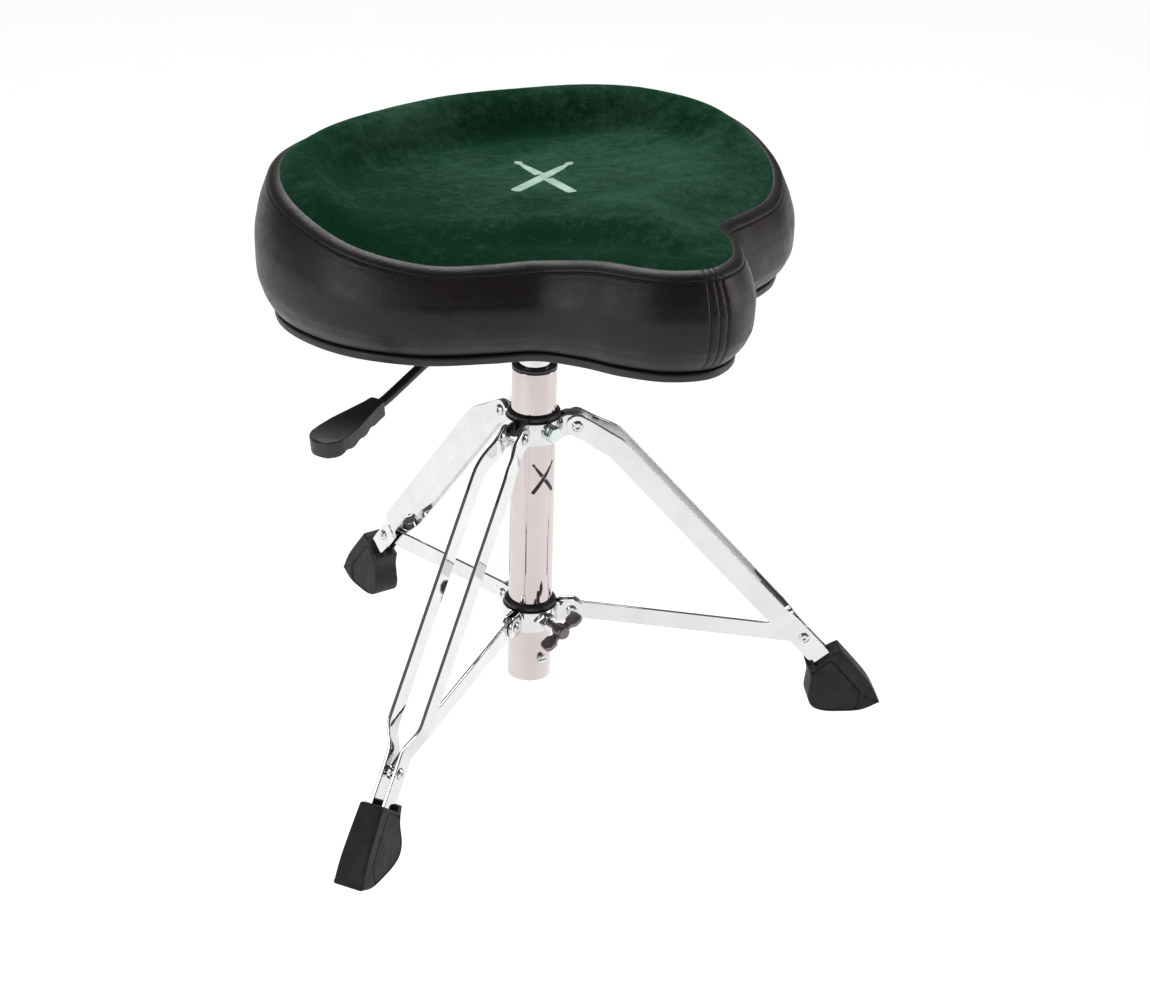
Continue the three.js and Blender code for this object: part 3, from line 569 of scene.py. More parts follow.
def softbox(name, place, target, size, power, colour=(1, 1, 1)):
    """A rectangular light at a place, facing the target. Metres and watts."""
    data = bpy.data.lights.new(name, "AREA")
    data.shape = "RECTANGLE"
    data.size, data.size_y = size
    data.energy = power
    data.color = colour
    made = linked(name, data)
    made.location = place
    made.rotation_euler = (Vector(target) - Vector(place)).to_track_quat("-Z", "Y").to_euler()


def staged(name, verts, faces, look):
    """A piece of the studio, which is no part of the throne."""
    mesh = bpy.data.meshes.new(name)
    mesh.from_pydata(verts, [], faces)
    mesh.materials.append(look.material)
    made = linked(name, mesh)
    return made


def studio():
    """A white ground and backdrop, a soft light above and behind, a fill on each side and a dim sky."""
    seat = (0, COLUMN_Y * MM, 0.45)
    softbox("top_light", (0.5, 0.9, 2.3), seat, size=(1.8, 1.4), power=46)
    softbox("left_fill", (-2.0, -0.3, 1.0), seat, size=(0.9, 1.3), power=11)
    softbox("right_fill", (1.9, -1.2, 1.0), seat, size=(0.8, 1.4), power=13, colour=(1, 0.93, 0.92))

    world = bpy.data.worlds.new("studio")
    world.use_nodes = True
    sky = world.node_tree.nodes["Background"].inputs
    sky["Color"].default_value = (1, 0.99, 0.985, 1)
    sky["Strength"].default_value = 0.12
    bpy.context.scene.world = world

    white = Shader("white_table", Roughness=0.6, Specular_IOR_Level=0.1, Emission_Color=(1, 1, 1, 1),
                   Emission_Strength=0.9)
    white.paint(white.colour(white.noise(400, 2), (0.26, 0.26, 0.26), (0.3, 0.3, 0.3)))
    reach = STUDIO_REACH * MM
    corners = [(-reach, -reach), (reach, -reach), (reach, reach), (-reach, reach)]
    low = [(x, y, FLOOR_Z * MM) for x, y in corners]
    high = [(x, y, reach) for x, y in corners]
    walls = [(i, (i + 1) % 4, (i + 1) % 4 + 4, i + 4) for i in range(4)]
    staged("floor", low, [(0, 1, 2, 3)], white)
    backdrop = staged("backdrop", low + high, walls, white)
    for sight in ("visible_diffuse", "visible_glossy", "visible_transmission", "visible_shadow"):
        setattr(backdrop, sight, False)

    view = bpy.context.scene.view_settings
    view.view_transform = "Standard"
    view.look = "None"
    view.exposure = 0
    view.gamma = 1


camera()
studio()
dress_cad_nodes()

# ---------- seat ----------
# Half of the edge trim's outline, from the nose's tip to the middle of the rear edge.
HALF_OUTLINE = [
    (0, -228), (29, -217), (51, -191), (66, -161), (88, -133), (122, -119), (166, -97), (204, -52),
    (218, 0), (213, 42), (184, 92), (139, 126), (74, 150), (0, 161),
]
DISH_CENTRE = np.array([0.0, -10.0])
DISH_Z = 490.5
POMMEL_RISE = 8                  # the nose's crest above the dish
RIM_CREST = 18                   # distance from the inlay's edge to the padded rim's crest
RIM_FOOT = 55                    # and to the foot of the rim, where the dish begins
NOSE_SEAMS = (-7, -1.5, 3.5)     # the three stitched lines down the nose, along the outline from its tip
FOAM_BOTTOM = 414.5
FOAM_DEPTH = 7                   # how far the foam lies under the velour's surface
PANEL_THICKNESS = 4
CORE_VOXEL = 0.006
SIM_FRAMES = 20
SWELL_CAP = 2.2                  # how far the simulation may move the pad
FOLLOWED_POINTS = 60             # points of the pad that carry each point of the cover
STICK_GAP = 0.07                 # half the gap where one printed drumstick passes under the other
SEAT_MOTIF_CENTRE = (7, 3)
SEAT_MOTIF_SIZE = 92
TUBE_MOTIF_AZIMUTH = 266
TUBE_MOTIF_Z = 237
TUBE_MOTIF_SIZE = 34


def outline_frame():
    """The outline's points, outward normals and places along it, closely spaced at the nose's seams."""
    other = [(-x, y) for x, y in HALF_OUTLINE[-2:0:-1]]
    dense = catmull(HALF_OUTLINE + other, per_span=60, closed=True)
    looped = np.vstack([dense, dense[:1]])
    arc = distances(looped)
    places = np.concatenate([np.arange(-15, 9, 0.55), np.arange(9, arc[-1] - 15, 3.0)])

    def at(s):
        return np.column_stack([np.interp(np.mod(s, arc[-1]), arc, looped[:, k]) for k in (0, 1)])

    return at(places), to_right(at(places + 1.5) - at(places - 1.5)), places


OUTLINE, NORMALS, ARC = outline_frame()
INLAY_EDGE = OUTLINE + NORMALS * INLAY_OUT


def edge_z(y):
    """Height of the inlay's edge: lowest at the thighs, a little higher at the nose, highest at the rear."""
    nose = np.clip(1.5 * (THIGH_Y - y) / (THIGH_Y - HALF_OUTLINE[0][1]), 0, 1)
    rear = np.clip((y - THIGH_Y) / (HALF_OUTLINE[-1][1] - THIGH_Y), 0, 1)
    climb = np.sin(math.pi / 2 * np.minimum(1, rear * 1.2)) ** 1.4
    return THIGH_EDGE_Z + (NOSE_EDGE_Z - THIGH_EDGE_Z) * smooth(nose) + (REAR_EDGE_Z - THIGH_EDGE_Z) * climb


def seat_loop(out, height):
    """The outline moved outwards; height is a number or a function of y at the outline."""
    out = np.broadcast_to(out, len(OUTLINE))
    flat = OUTLINE + NORMALS * out[:, None]
    z = np.full(len(OUTLINE), float(height)) if np.isscalar(height) else height(OUTLINE[:, 1])
    return np.column_stack([flat, z])


def from_edge(rise):
    return lambda y: edge_z(y) + rise


def up_side(share):
    """Height at a share of the way from the trim to the seam."""
    return lambda y: TRIM_TOP + 0.5 + (edge_z(y) - SEAM_DROP - 1 - TRIM_TOP) * share


def seam_groove(depth, width=0.8):
    """How far the nose's stitched lines pull the skin in, along the outline."""
    lines = sum(np.exp(-((ARC - seam) / width) ** 2) for seam in NOSE_SEAMS)
    pucker = sum(np.exp(-((ARC - seam) / 3.5) ** 2) for seam in NOSE_SEAMS)
    return depth * lines + 0.25 * depth * pucker


def top_z(points):
    """The saddle: a padded rim that fades towards the thighs, a dish, and a rounded nose."""
    x, y = points[:, 0], points[:, 1]
    distance = line_distance(points, INLAY_EDGE, np.roll(INLAY_EDGE, -1, 0))
    edge = edge_z(y)
    lift = 4 + 5.5 * smooth((y + 110) / 120)
    pommel = POMMEL_RISE * np.exp(-((x - 6) / 42) ** 2) * smooth((-40 - y) / 75)
    floor = DISH_Z + pommel + 0.0002 * (x ** 2 + 0.4 * (y - 20) ** 2)
    up = edge + lift * np.sin(math.pi / 2 * np.clip(distance / RIM_CREST, 0, 1))
    down = smooth((distance - RIM_CREST) / (RIM_FOOT - RIM_CREST))
    return np.where(distance < RIM_CREST, up, edge + lift + (floor - edge - lift) * down)


def dish_loop(edge, share, depth=0):
    """A flat edge drawn in to a share of its distance from the dish's centre, laid under the saddle."""
    flat = DISH_CENTRE + (edge - DISH_CENTRE) * share
    return np.column_stack([flat, top_z(flat) - depth])


def seat_core():
    """The foam pad: inflated by a cloth simulation with its base held. Returns how each point of it moved."""
    sides = [(0, 0.12), (BULGE - 9, 0.4), (BULGE - 9, 0.6), (-3.5, 0.9)]
    loops = [seat_loop(-6, FOAM_BOTTOM)] + [seat_loop(out, up_side(share)) for out, share in sides]
    loops += [dish_loop(INLAY_EDGE, share, FOAM_DEPTH) for share in (0.97, *np.linspace(0.93, 0.04, 22))]
    piece = solid("seat_core", *loft(loops), SLOT_LOOKS["foam"], sharp=80)
    grid = piece.modifiers.new("grid", "REMESH")
    grid.mode = "VOXEL"
    grid.voxel_size = CORE_VOXEL
    freeze(piece)
    start = coordinates(piece)
    moved = np.zeros_like(start)
    held = piece.vertex_groups.new(name="held")
    held.add(np.flatnonzero(start[:, 2] < (FOAM_BOTTOM + 8) * MM).tolist(), 1, "REPLACE")
    cloth = piece.modifiers.new("cloth", "CLOTH")
    cloth.settings.vertex_group_mass = "held"
    cloth.settings.use_pressure = True
    cloth.settings.uniform_pressure_force = 4
    cloth.settings.effector_weights.gravity = 0
    cloth.collision_settings.use_collision = False
    cloth.point_cache.frame_start = 1
    cloth.point_cache.frame_end = SIM_FRAMES
    for frame_number in range(1, SIM_FRAMES + 1):
        bpy.context.scene.frame_set(frame_number)
    freeze(piece)
    moved = coordinates(piece) - start
    far = np.linalg.norm(moved, axis=1)
    moved *= np.minimum(1, SWELL_CAP * MM / np.maximum(far, 1e-9))[:, None]
    piece.data.vertices.foreach_set("co", (start + moved).ravel())
    bpy.context.scene.frame_set(1)
    dress(piece, "seat", "foam", "seat_foam")
    return start, moved


def freeze(piece):
    """Applies the piece's modifiers."""
    shape = bpy.data.meshes.new_from_object(piece.evaluated_get(bpy.context.evaluated_depsgraph_get()))
    piece.modifiers.clear()
    piece.data = shape


def coordinates(piece):
    flat = np.empty(len(piece.data.vertices) * 3)
    piece.data.vertices.foreach_get("co", flat)
    return flat.reshape(-1, 3)


def follow(piece, start, moved):
    """Moves a skin with the core under it."""
    tree = KDTree(len(start))
    for index, place in enumerate(start):
        tree.insert(place, index)
    tree.balance()
    places = coordinates(piece)
    for index, place in enumerate(places):
        near = [found[1] for found in tree.find_n(place, FOLLOWED_POINTS)]
        places[index] = place + moved[near].mean(0)
    piece.data.vertices.foreach_set("co", places.ravel())
    piece.data.update()


# The side's section: (distance out from the trim, share of the way up to the seam).
SIDE_SECTION = catmull([(-3, 0.0), (1.5, 0.0), (7, 0.07), (12.5, 0.2), (15.6, 0.37), (BULGE, 0.54),
                        (13.8, 0.72), (9.8, 0.88), (SEAM_OUT + 1.6, 0.97)], per_span=5)


def side_cover():
    """The vinyl band: bulging, tucked in over the trim, folded in at its top seam."""
    groove = seam_groove(1.1)
    loops = [seat_loop(out - groove * smooth(share * 30), up_side(share)) for out, share in SIDE_SECTION]
    for out, rise in ((0.9 - groove, -0.9), (-0.6, -0.4), (-3, -0.5)):
        loops.append(seat_loop(SEAM_OUT + out, from_edge(rise - SEAM_DROP)))
    inside = [(BULGE - 6, 0.72), (BULGE - 4, 0.45), (4, 0.1)]
    loops += [seat_loop(out, up_side(share)) for out, share in inside]
    return add_piece("seat_side_cover", ringed(loops), "seat", "black_vinyl", "side_cover", sharp=60)


def top_border():
    """The vinyl strip between the side seam and the velour."""
    groove = seam_groove(0.8)
    section = [(-3, -1.0), (-0.4, -0.5), (0.2, 0.4), (-0.1, 1.3), (-1.6, 3.2), (-4.2, 4.9), (-7, 5.9),
               (-8.4, 6.2), (-9.2, 6.0), (-9.5, 4.6), (-9.5, 2.5)]
    loops = []
    for out, rise in section:
        pulled = groove if rise > -0.4 else 0
        loops.append(seat_loop(SEAM_OUT + out, from_edge(-SEAM_DROP + rise - pulled * 0.6)))
    return add_piece("seat_top_border", ringed(loops), "seat", "black_vinyl", "top_border", sharp=60)


def top_panel():
    """The velour inlay: its edge rolls over the border, and its underside follows the foam."""
    edge = OUTLINE + NORMALS * (INLAY_OUT + 0.2)
    shares = np.concatenate([1 - 0.009 * np.arange(13), np.linspace(0.87, 0.03, 30)])
    above = [seat_loop(INLAY_OUT - 1.5, from_edge(-4)), seat_loop(INLAY_OUT + 0.1, from_edge(-1.2))]
    above += [dish_loop(edge, share) for share in shares]
    below = above[:1] + [dish_loop(edge, share, PANEL_THICKNESS) for share in shares[::4]]
    parts = [loft(above, caps=False), loft(below, caps=False)]
    count = len(OUTLINE)
    fan = [(i, (i + 1) % count, count) for i in range(count)]
    for loop, depth in ((above[-1], 0), (below[-1], PANEL_THICKNESS)):
        parts.append((np.vstack([loop, dish_loop(edge[:1], 0, depth)]), fan))
    return add_piece("seat_top_panel", joined(*parts), "seat", "green_velour", "top_panel", sharp=60)


def edge_trim():
    """The moulded strip round the seat's bottom edge."""
    corners = [(-3.6, TRIM_BOTTOM), (2.3, TRIM_BOTTOM), (2.6, TRIM_TOP - 1.2), (-3.6, TRIM_TOP - 0.6)]
    strip = ringed([seat_loop(out, z) for out, z in fillet(corners, 2.3, 5)])
    return add_piece("seat_edge_trim", strip, "seat", "black_plastic", "edge_trim", sharp=60)


def stitches(line, length, space, radius):
    """Short spindles of thread along a line of points."""
    line = resampled(line, 0.5)
    run = np.arange(len(line)) * 0.5
    made = []
    for start in np.arange(space, run[-1] - length, length + space):
        places = start + length * np.array([0, 0.12, 0.5, 0.88, 1])
        middle = np.column_stack([np.interp(places, run, line[:, k]) for k in range(3)])
        ahead = Vector(middle[-1] - middle[0]).normalized()
        side = ahead.cross(Vector((0.13, 0.21, 0.97))).normalized()
        up = side.cross(ahead)
        ring = np.array([side * math.cos(a) + up * math.sin(a) for a in np.arange(6) * math.pi / 3]) * radius
        made.append(loft([place + ring * share for place, share in zip(middle, (0.3, 0.8, 1, 0.8, 0.3))]))
    return joined(*made)


def seat_stitching():
    """Thread down the nose's three lines, and round the seam between the side and the top strip."""
    runs = []
    groove = seam_groove(1.1)
    for seam in NOSE_SEAMS:
        index = int(np.argmin(np.abs(ARC - seam)))
        line = [seat_loop(out - groove + 0.25, up_side(share))[index] for out, share in SIDE_SECTION[4:]]
        runs.append(stitches(line, 2.8, 1.0, 0.42))
    seam = seat_loop(SEAM_OUT + 0.7, from_edge(-SEAM_DROP - 0.55))
    runs.append(stitches(np.vstack([seam, seam[:1]]), 2.6, 1.1, 0.38))
    return add_piece("seat_stitching", joined(*runs), "seat", "black_vinyl", look=THREAD)


# A drumstick of unit length from butt to tip: (place along it, half width).
DRUMSTICK = [(0, 0.016), (0.008, 0.039), (0.03, 0.048), (0.3, 0.05), (0.6, 0.048), (0.8, 0.035),
             (0.895, 0.019), (0.91, 0.022), (0.935, 0.034), (0.96, 0.035), (0.985, 0.023), (1, 0.008)]


def crossed_sticks(surface, size, turn, lean, depth):
    """Two crossed drumsticks as thin prints. surface(points, height) lays flat points on the object."""
    made = []
    for sign, spans in ((1, [(0, 1)]), (-1, [(0, 0.5 - STICK_GAP), (0.5 + STICK_GAP, 1)])):
        angle = math.radians(90 + turn - sign * lean)
        ahead = np.array([math.cos(angle), math.sin(angle)])
        aside = np.array([-ahead[1], ahead[0]])
        for low, high in spans:
            inside = [place for place, _ in DRUMSTICK if low < place < high]
            loops = []
            for place in np.unique(np.concatenate([[low, high], inside, np.arange(low, high, 0.03)])):
                half = float(np.interp(place, *zip(*DRUMSTICK))) * size
                middle = ahead * (place - 0.5) * size
                across_it = [middle + aside * half * side for side in (-1, -0.5, 0, 0.5, 1)]
                loops.append(np.vstack([surface(across_it, depth), surface(across_it[::-1], -depth)]))
            made.append(loft(loops))
    return joined(*made)


def seat_motif():
    """A generic crossed-drumsticks print in the middle of the dish."""
    def on_seat(points, height):
        flat = np.array(points) + SEAT_MOTIF_CENTRE
        return np.column_stack([flat, top_z(flat) + height])

    sticks = crossed_sticks(on_seat, SEAT_MOTIF_SIZE, turn=-34, lean=30, depth=0.45)
    return add_piece("seat_print", sticks, "seat", "green_velour", look=MOTIF)


core_start, core_moved = seat_core()
for skin in (side_cover(), top_border(), top_panel(), seat_stitching(), seat_motif()):
    follow(skin, core_start, core_moved)
edge_trim()


# ---------- stand: turned and pressed parts ----------
def ribbon(stations, thickness, rounding=0.7):
    """A strip standing on edge along (x, y, low, high) stations, its long edges rounded."""
    stations = np.array(stations, float)
    half = thickness / 2
    loops = []
    for (x, y, low, high), n in zip(stations, to_right(directions(stations[:, :2]))):
        soft = min(rounding, (high - low) * 0.3)
        section = fillet([(half, low), (half, high), (-half, high), (-half, low)], soft, 2)
        loops.append([(x + n[0] * out, y + n[1] * out, z) for out, z in section])
    return loft(loops)


def swept(line, section):
    """Carries a section along a line in a leg's plane. section(s) gives its points at a distance along."""
    line = np.array(line, float)
    return loft([[(r - v * w, side, z + u * w) for w, side in section(s)]
                 for (r, z), (u, v), s in zip(line, directions(line), distances(line))])


def bar(centre, half_width, side, thickness, rounding=0.8):
    """A flat bar on edge in its leg's plane. half_width and side are functions of the distance along it."""
    def section(s):
        wide, deep = half_width(s), thickness / 2
        corners = [(wide, deep), (wide, -deep), (-wide, -deep), (-wide, deep)]
        return [(w, side(s) + t) for w, t in fillet(corners, min(rounding, wide / 2), 3)]

    return swept(centre, section)


def flat_sided(piece):
    """Keeps the broad faces' reflections flat right up to their rounded edges."""
    weighted = piece.modifiers.new("flat_sides", "WEIGHTED_NORMAL")
    weighted.keep_sharp = True
    weighted.weight = 90
    freeze(piece)


def away_from(pivot, target, radius):
    """The point past a pivot, on the line from target."""
    pivot, target = np.array(pivot, float), np.array(target, float)
    back = (pivot - target) / np.linalg.norm(pivot - target)
    return pivot + back * radius


def turned_piece(name, profile, body, slot, node, radius=0.5, segments=96, look=None):
    add_piece(name, lathe(profile, segments, radius), body, slot, node, look=look)


def column():
    """The tube, the bushing in its top, the gas cylinder in that and the piston's shaft below."""
    inner = TUBE_R - TUBE_WALL
    tube = [(inner, TUBE_BOTTOM), (TUBE_R, TUBE_BOTTOM), (TUBE_R, TUBE_TOP), (inner, TUBE_TOP)]
    # The tube wears the darker, pinkish chrome copy, whose colour holds painted reflection and painted shade.
    turned_piece("column_tube_chrome", tube, "column", "chrome", "column_tube", radius=0.7, look=TUBE_CHROME_PAINTED_TINT)
    plug, lip = inner - 0.3, TUBE_TOP + 0.3
    bushing = [(CYLINDER_BORE_R, BUSHING_BOTTOM), (plug, BUSHING_BOTTOM), (plug, lip), (TUBE_R, lip),
               (TUBE_R, BUSHING_TOP), (CYLINDER_BORE_R, BUSHING_TOP)]
    turned_piece("guide_bushing_lip", bushing, "column", "black_nylon", "guide_bushing", radius=1)
    cylinder = [(0, CYLINDER_BOTTOM), (CYLINDER_R, CYLINDER_BOTTOM), (CYLINDER_R, CYLINDER_TOP - 2),
                (CYLINDER_R - 3, CYLINDER_TOP), (0, CYLINDER_TOP)]
    turned_piece("gas_cylinder_body", cylinder, "seat", "chrome", "gas_cylinder", radius=1.2)
    end = CYLINDER_BOTTOM - 0.5
    shaft = [(0, SHAFT_BOTTOM), (SHAFT_R, SHAFT_BOTTOM), (SHAFT_R, end), (0, end)]
    turned_piece("piston_shaft", shaft, "piston", "bright_steel", "piston_rod", segments=48)


def tube_screw():
    """A slotted round-head screw: two half-round heads with the slot's floor between them."""
    head_r, slot_half, slot_angle = TUBE_SCREW_R, 0.7, math.asin(0.17)
    shank = lathe([(0, 15), (2.5, 15), (2.5, 19.3), (head_r, 19.3), (head_r, 21.3), (0, 21.3)], 48, 0.3)
    parts = [facing_front(shank, TUBE_SCREW_Z)]
    sweep = np.linspace(slot_angle, math.pi - slot_angle, 20)
    rim = [(head_r * math.cos(a), head_r * math.sin(a)) for a in sweep]
    dome = [(1, 20.9), (1, 21.4), (0.93, 22.0), (0.8, 22.4), (0.4, 22.5)]
    for sign in (1, -1):
        loops = [[(x * shrink, -out, TUBE_SCREW_Z + sign * max(z * shrink, slot_half)) for x, z in rim]
                 for shrink, out in dome]
        parts.append(loft(loops))
    add_piece("tube_screw_head", joined(*parts), "column", "zinc_plate", "tube_screw")


def tube_motif():
    """The same crossed drumsticks as a dark print on the tube."""
    def on_tube(points, height):
        points = np.array(points)
        angle = math.radians(TUBE_MOTIF_AZIMUTH) + points[:, 0] / TUBE_R
        r = TUBE_R + height
        return np.column_stack([r * np.cos(angle), r * np.sin(angle), TUBE_MOTIF_Z + points[:, 1]])

    sticks = crossed_sticks(on_tube, TUBE_MOTIF_SIZE, turn=0, lean=36, depth=0.12)
    add_piece("tube_print", sticks, "column", "black_nylon", look=DECAL)


# ---------- collars ----------
def pressed_band(band, pivot, end_radius, side):
    """A collar of three pressed strips, each hugging the tube and bent out into a cheek at both ends."""
    middle = (BAND_INNER + BAND_OUTER) / 2
    start = math.asin(side / middle)
    root = middle * math.cos(start)
    sweep = np.linspace(start, math.radians(120) - start, 40)
    arc = [(middle * math.cos(a), middle * math.sin(a)) for a in sweep]
    near = [(pivot[0] + end_radius, side), (root + 2.2, side)]
    far = rotated([(r, -off) for r, off in near[::-1]], 120).tolist()
    path = resampled(fillet(near + arc[2:-2] + far, 3, 5, closed=False), 0.9)
    stations = []
    for index, point in enumerate(path):
        r, off = rotated([point], 0 if index < len(path) / 2 else -120)[0]
        low, high = band
        if abs(off) < side + 1.2 and r > root + 1:
            half = round_end(end_radius, r - pivot[0], 0.6)
            flare = smooth((r - middle) / 5)
            low += (pivot[1] - half - low) * flare
            high += (pivot[1] + half - high) * flare
        stations.append((*point, low, high))
    strip = ribbon(stations, BAND_THICKNESS)
    return joined(*(turned_round(strip, azimuth) for azimuth in LEG_AZIMUTHS.values()))


def sleeve(name, body, band, node):
    """The nylon sleeve inside a collar, with a lip above it."""
    low, top = band[0] - 0.3, band[1] + SLEEVE_RISE
    lip = SLEEVE_OUTER + 1.3
    profile = [(SLEEVE_INNER, low), (SLEEVE_OUTER, low), (SLEEVE_OUTER, band[1] + 0.6), (lip, band[1] + 0.9),
               (lip, top - 1.8), (SLEEVE_INNER + 0.8, top), (SLEEVE_INNER, top)]
    turned_piece(name, profile, body, "black_nylon", node)


def tubular_rivet(pivot, half_length):
    """A rivet across a pivot, whose rolled heads have deep recessed centres."""
    head = [(0, -1.2), (1.5, -1.2), (1.7, 1.9), (3.3, 2.0), (4.9, 0.7), (5.0, 0.05)]
    top = [(r, half_length + z) for r, z in reversed(head)]
    bottom = [(r, -half_length - z) for r, z in head]
    return across(lathe(bottom + [(PIN_R, -half_length), (PIN_R, half_length)] + top, 36, 0.35), pivot)


def collars():
    """Both collars' pressings and sleeves, the bolt of the upper one and the threaded boss of the lower."""
    upper = pressed_band(UPPER_BAND, LEG_PIVOT, BAR_HALF_WIDTH, 5.75)
    add_piece("upper_collar_pressing", upper, "column", "chrome", "upper_collar")
    sleeve("upper_collar_sleeve", "column", UPPER_BAND, "upper_sleeve")

    washer = lathe([(0, 21), (7.6, 21), (7.6, 25.8), (0, 25.8)], 48, 0.4)
    head = lathe([(0, 25.6), (7.2, 25.6), (7.2, 32), (6.2, 33.1), (0, 33.1)], 6, 0.5)
    bolt = facing_front(joined(washer, head), LEG_PIVOT[1])
    add_piece("collar_bolt_head", bolt, "column", "zinc_plate", "collar_bolt")

    boss = lathe([(3.3, 22.6), (7.4, 22.6), (7.4, 32.2), (6.6, 33), (3.3, 33)], 6, 0.4)
    lower = joined(pressed_band(LOWER_BAND, COLLAR_PIVOT, 10, 3.45), facing_front(boss, COLLAR_PIVOT[1]))
    add_piece("lower_collar_pressing", lower, "sliding_collar", "chrome", "lower_collar")
    sleeve("lower_collar_sleeve", "sliding_collar", LOWER_BAND, "lower_sleeve")


def wing_screw():
    """A cast thumb screw: a round hub with two lozenge wings on short necks."""
    shaft = lathe([(0, 23.3), (PIN_R, 23.3), (PIN_R, 42), (0, 42)], 36, 0.3)
    middle = lathe([(0, 41), (5.2, 41.4), (6.2, 44), (6.2, 52), (5, 54), (0, 54)], 48, 1)
    parts = [turned_to(part, (1, 0, 0)) for part in (shaft, middle)]
    pad = fillet([(42.2, 11.5), (42.2, 18.6), (45.4, 21.4), (52.8, 21.4), (55.8, 18), (55.8, 11.5),
                  (52.5, 8.4), (45.2, 8.4)], 1.1, 4)
    neck = [(45, 3), (52.4, 3), (52.4, 11), (45, 11)]
    for sign in (1, -1):
        for outline, half, bevel in ((pad, 2.2, 0.8), (neck, 1.9, 0.7)):
            parts.append(plate([(r, sign * z) for r, z in outline], -half, half, bevel))
    verts, faces = joined(*parts)
    verts[:, 1:] = rotated(verts[:, 1:], WING_TILT)
    verts[:, 2] += COLLAR_PIVOT[1]
    add_piece("wing_screw_casting", (verts, faces), "wing", "grey_casting", "wing_screw", azimuth=-90)


# ---------- legs ----------
def length_of(*points):
    return distances(points)[-1]


def leg_bar(sign):
    """One of a leg's two bars: round at its top, bent at the knee, and cranked inwards to the foot."""
    start = away_from(LEG_PIVOT, KNEE, BAR_HALF_WIDTH)
    centre = resampled(fillet([tuple(start), KNEE, FOOT_END], 26, 10, closed=False), 1.6)
    knee = BAR_HALF_WIDTH + length_of(LEG_PIVOT, KNEE)
    foot = knee + length_of(KNEE, STRUT_PIVOT)
    places = [0, BAR_HALF_WIDTH + 13, BAR_HALF_WIDTH + 28, knee + 5, foot - 36, foot - 18, foot + 80]
    sides = [BAR_SIDE_TOP, BAR_SIDE_TOP, 12.5, BAR_SIDE_MIDDLE, BAR_SIDE_MIDDLE, BAR_SIDE_FOOT, BAR_SIDE_FOOT]
    soften = np.linspace(-4, 4, 9)

    def half_width(s):
        return round_end(BAR_HALF_WIDTH, BAR_HALF_WIDTH - s)

    def side(s):
        return sign * float(np.interp(s + soften, places, sides).mean())

    return bar(centre, half_width, side, BAR_THICKNESS)


def strut_bar():
    """A flat bar with a round end at each pivot, a little narrower at the foot."""
    start = away_from(COLLAR_PIVOT, STRUT_PIVOT, STRUT_HALF_WIDTH)
    end = away_from(STRUT_PIVOT, COLLAR_PIVOT, STRUT_END_HALF)
    total = length_of(start, end)

    def half_width(s):
        left = total - s
        if s < STRUT_HALF_WIDTH:
            return round_end(STRUT_HALF_WIDTH, STRUT_HALF_WIDTH - s)
        if left < STRUT_END_HALF:
            return round_end(STRUT_END_HALF, STRUT_END_HALF - left)
        widen = float(smooth((left - STRUT_END_HALF) / 14))
        return STRUT_END_HALF + (STRUT_HALF_WIDTH - STRUT_END_HALF) * widen

    return bar(resampled([tuple(start), tuple(end)], 1.2), half_width, lambda s: 0, STRUT_THICKNESS)


def foot_rivet(sign):
    """The stud and rolled head on one side of the foot's pivot."""
    outer = BAR_SIDE_FOOT + BAR_THICKNESS / 2
    profile = [(0, 4.3), (PIN_R, 4.3), (PIN_R, outer), (5, outer + 0.05), (4.9, outer + 0.8),
               (3.3, outer + 1.9), (1.6, outer + 1.8), (1.4, outer - 0.6), (0, outer - 0.6)]
    return across(lathe(profile, 36, 0.3), STRUT_PIVOT, sign)


def boot_relief(points):
    """How far the boot's side sinks at each (r, z): a groove, and a slightly sunken heel panel behind it."""
    line = np.array(fillet(BOOT_GROOVE, 6, 6, closed=False))
    away = line_distance(points, line[:-1], line[1:])
    within = np.zeros(len(points), bool)
    for a, d in zip(line, np.diff(line, axis=0)):
        crosses = (a[1] > points[:, 1]) != (a[1] + d[1] > points[:, 1])
        at = a[0] + (points[:, 1] - a[1]) / (d[1] or 1) * d[0]
        within ^= crosses & (points[:, 0] < at)
    groove = 1.7 * np.exp(-(away / 0.85) ** 2)
    return groove + np.where(within, 0.6 * smooth(away / 1.2), 0)


def carved(piece, cutter):
    """Cuts a (verts, faces) part out of a piece."""
    tool = solid(piece.name + "_cutter", *cutter, SLOT_LOOKS["black_rubber"])
    cut = piece.modifiers.new("cut", "BOOLEAN")
    cut.operation = "DIFFERENCE"
    cut.solver = "EXACT"
    cut.object = tool
    freeze(piece)
    bpy.data.objects.remove(tool)
    shaded(piece.data)


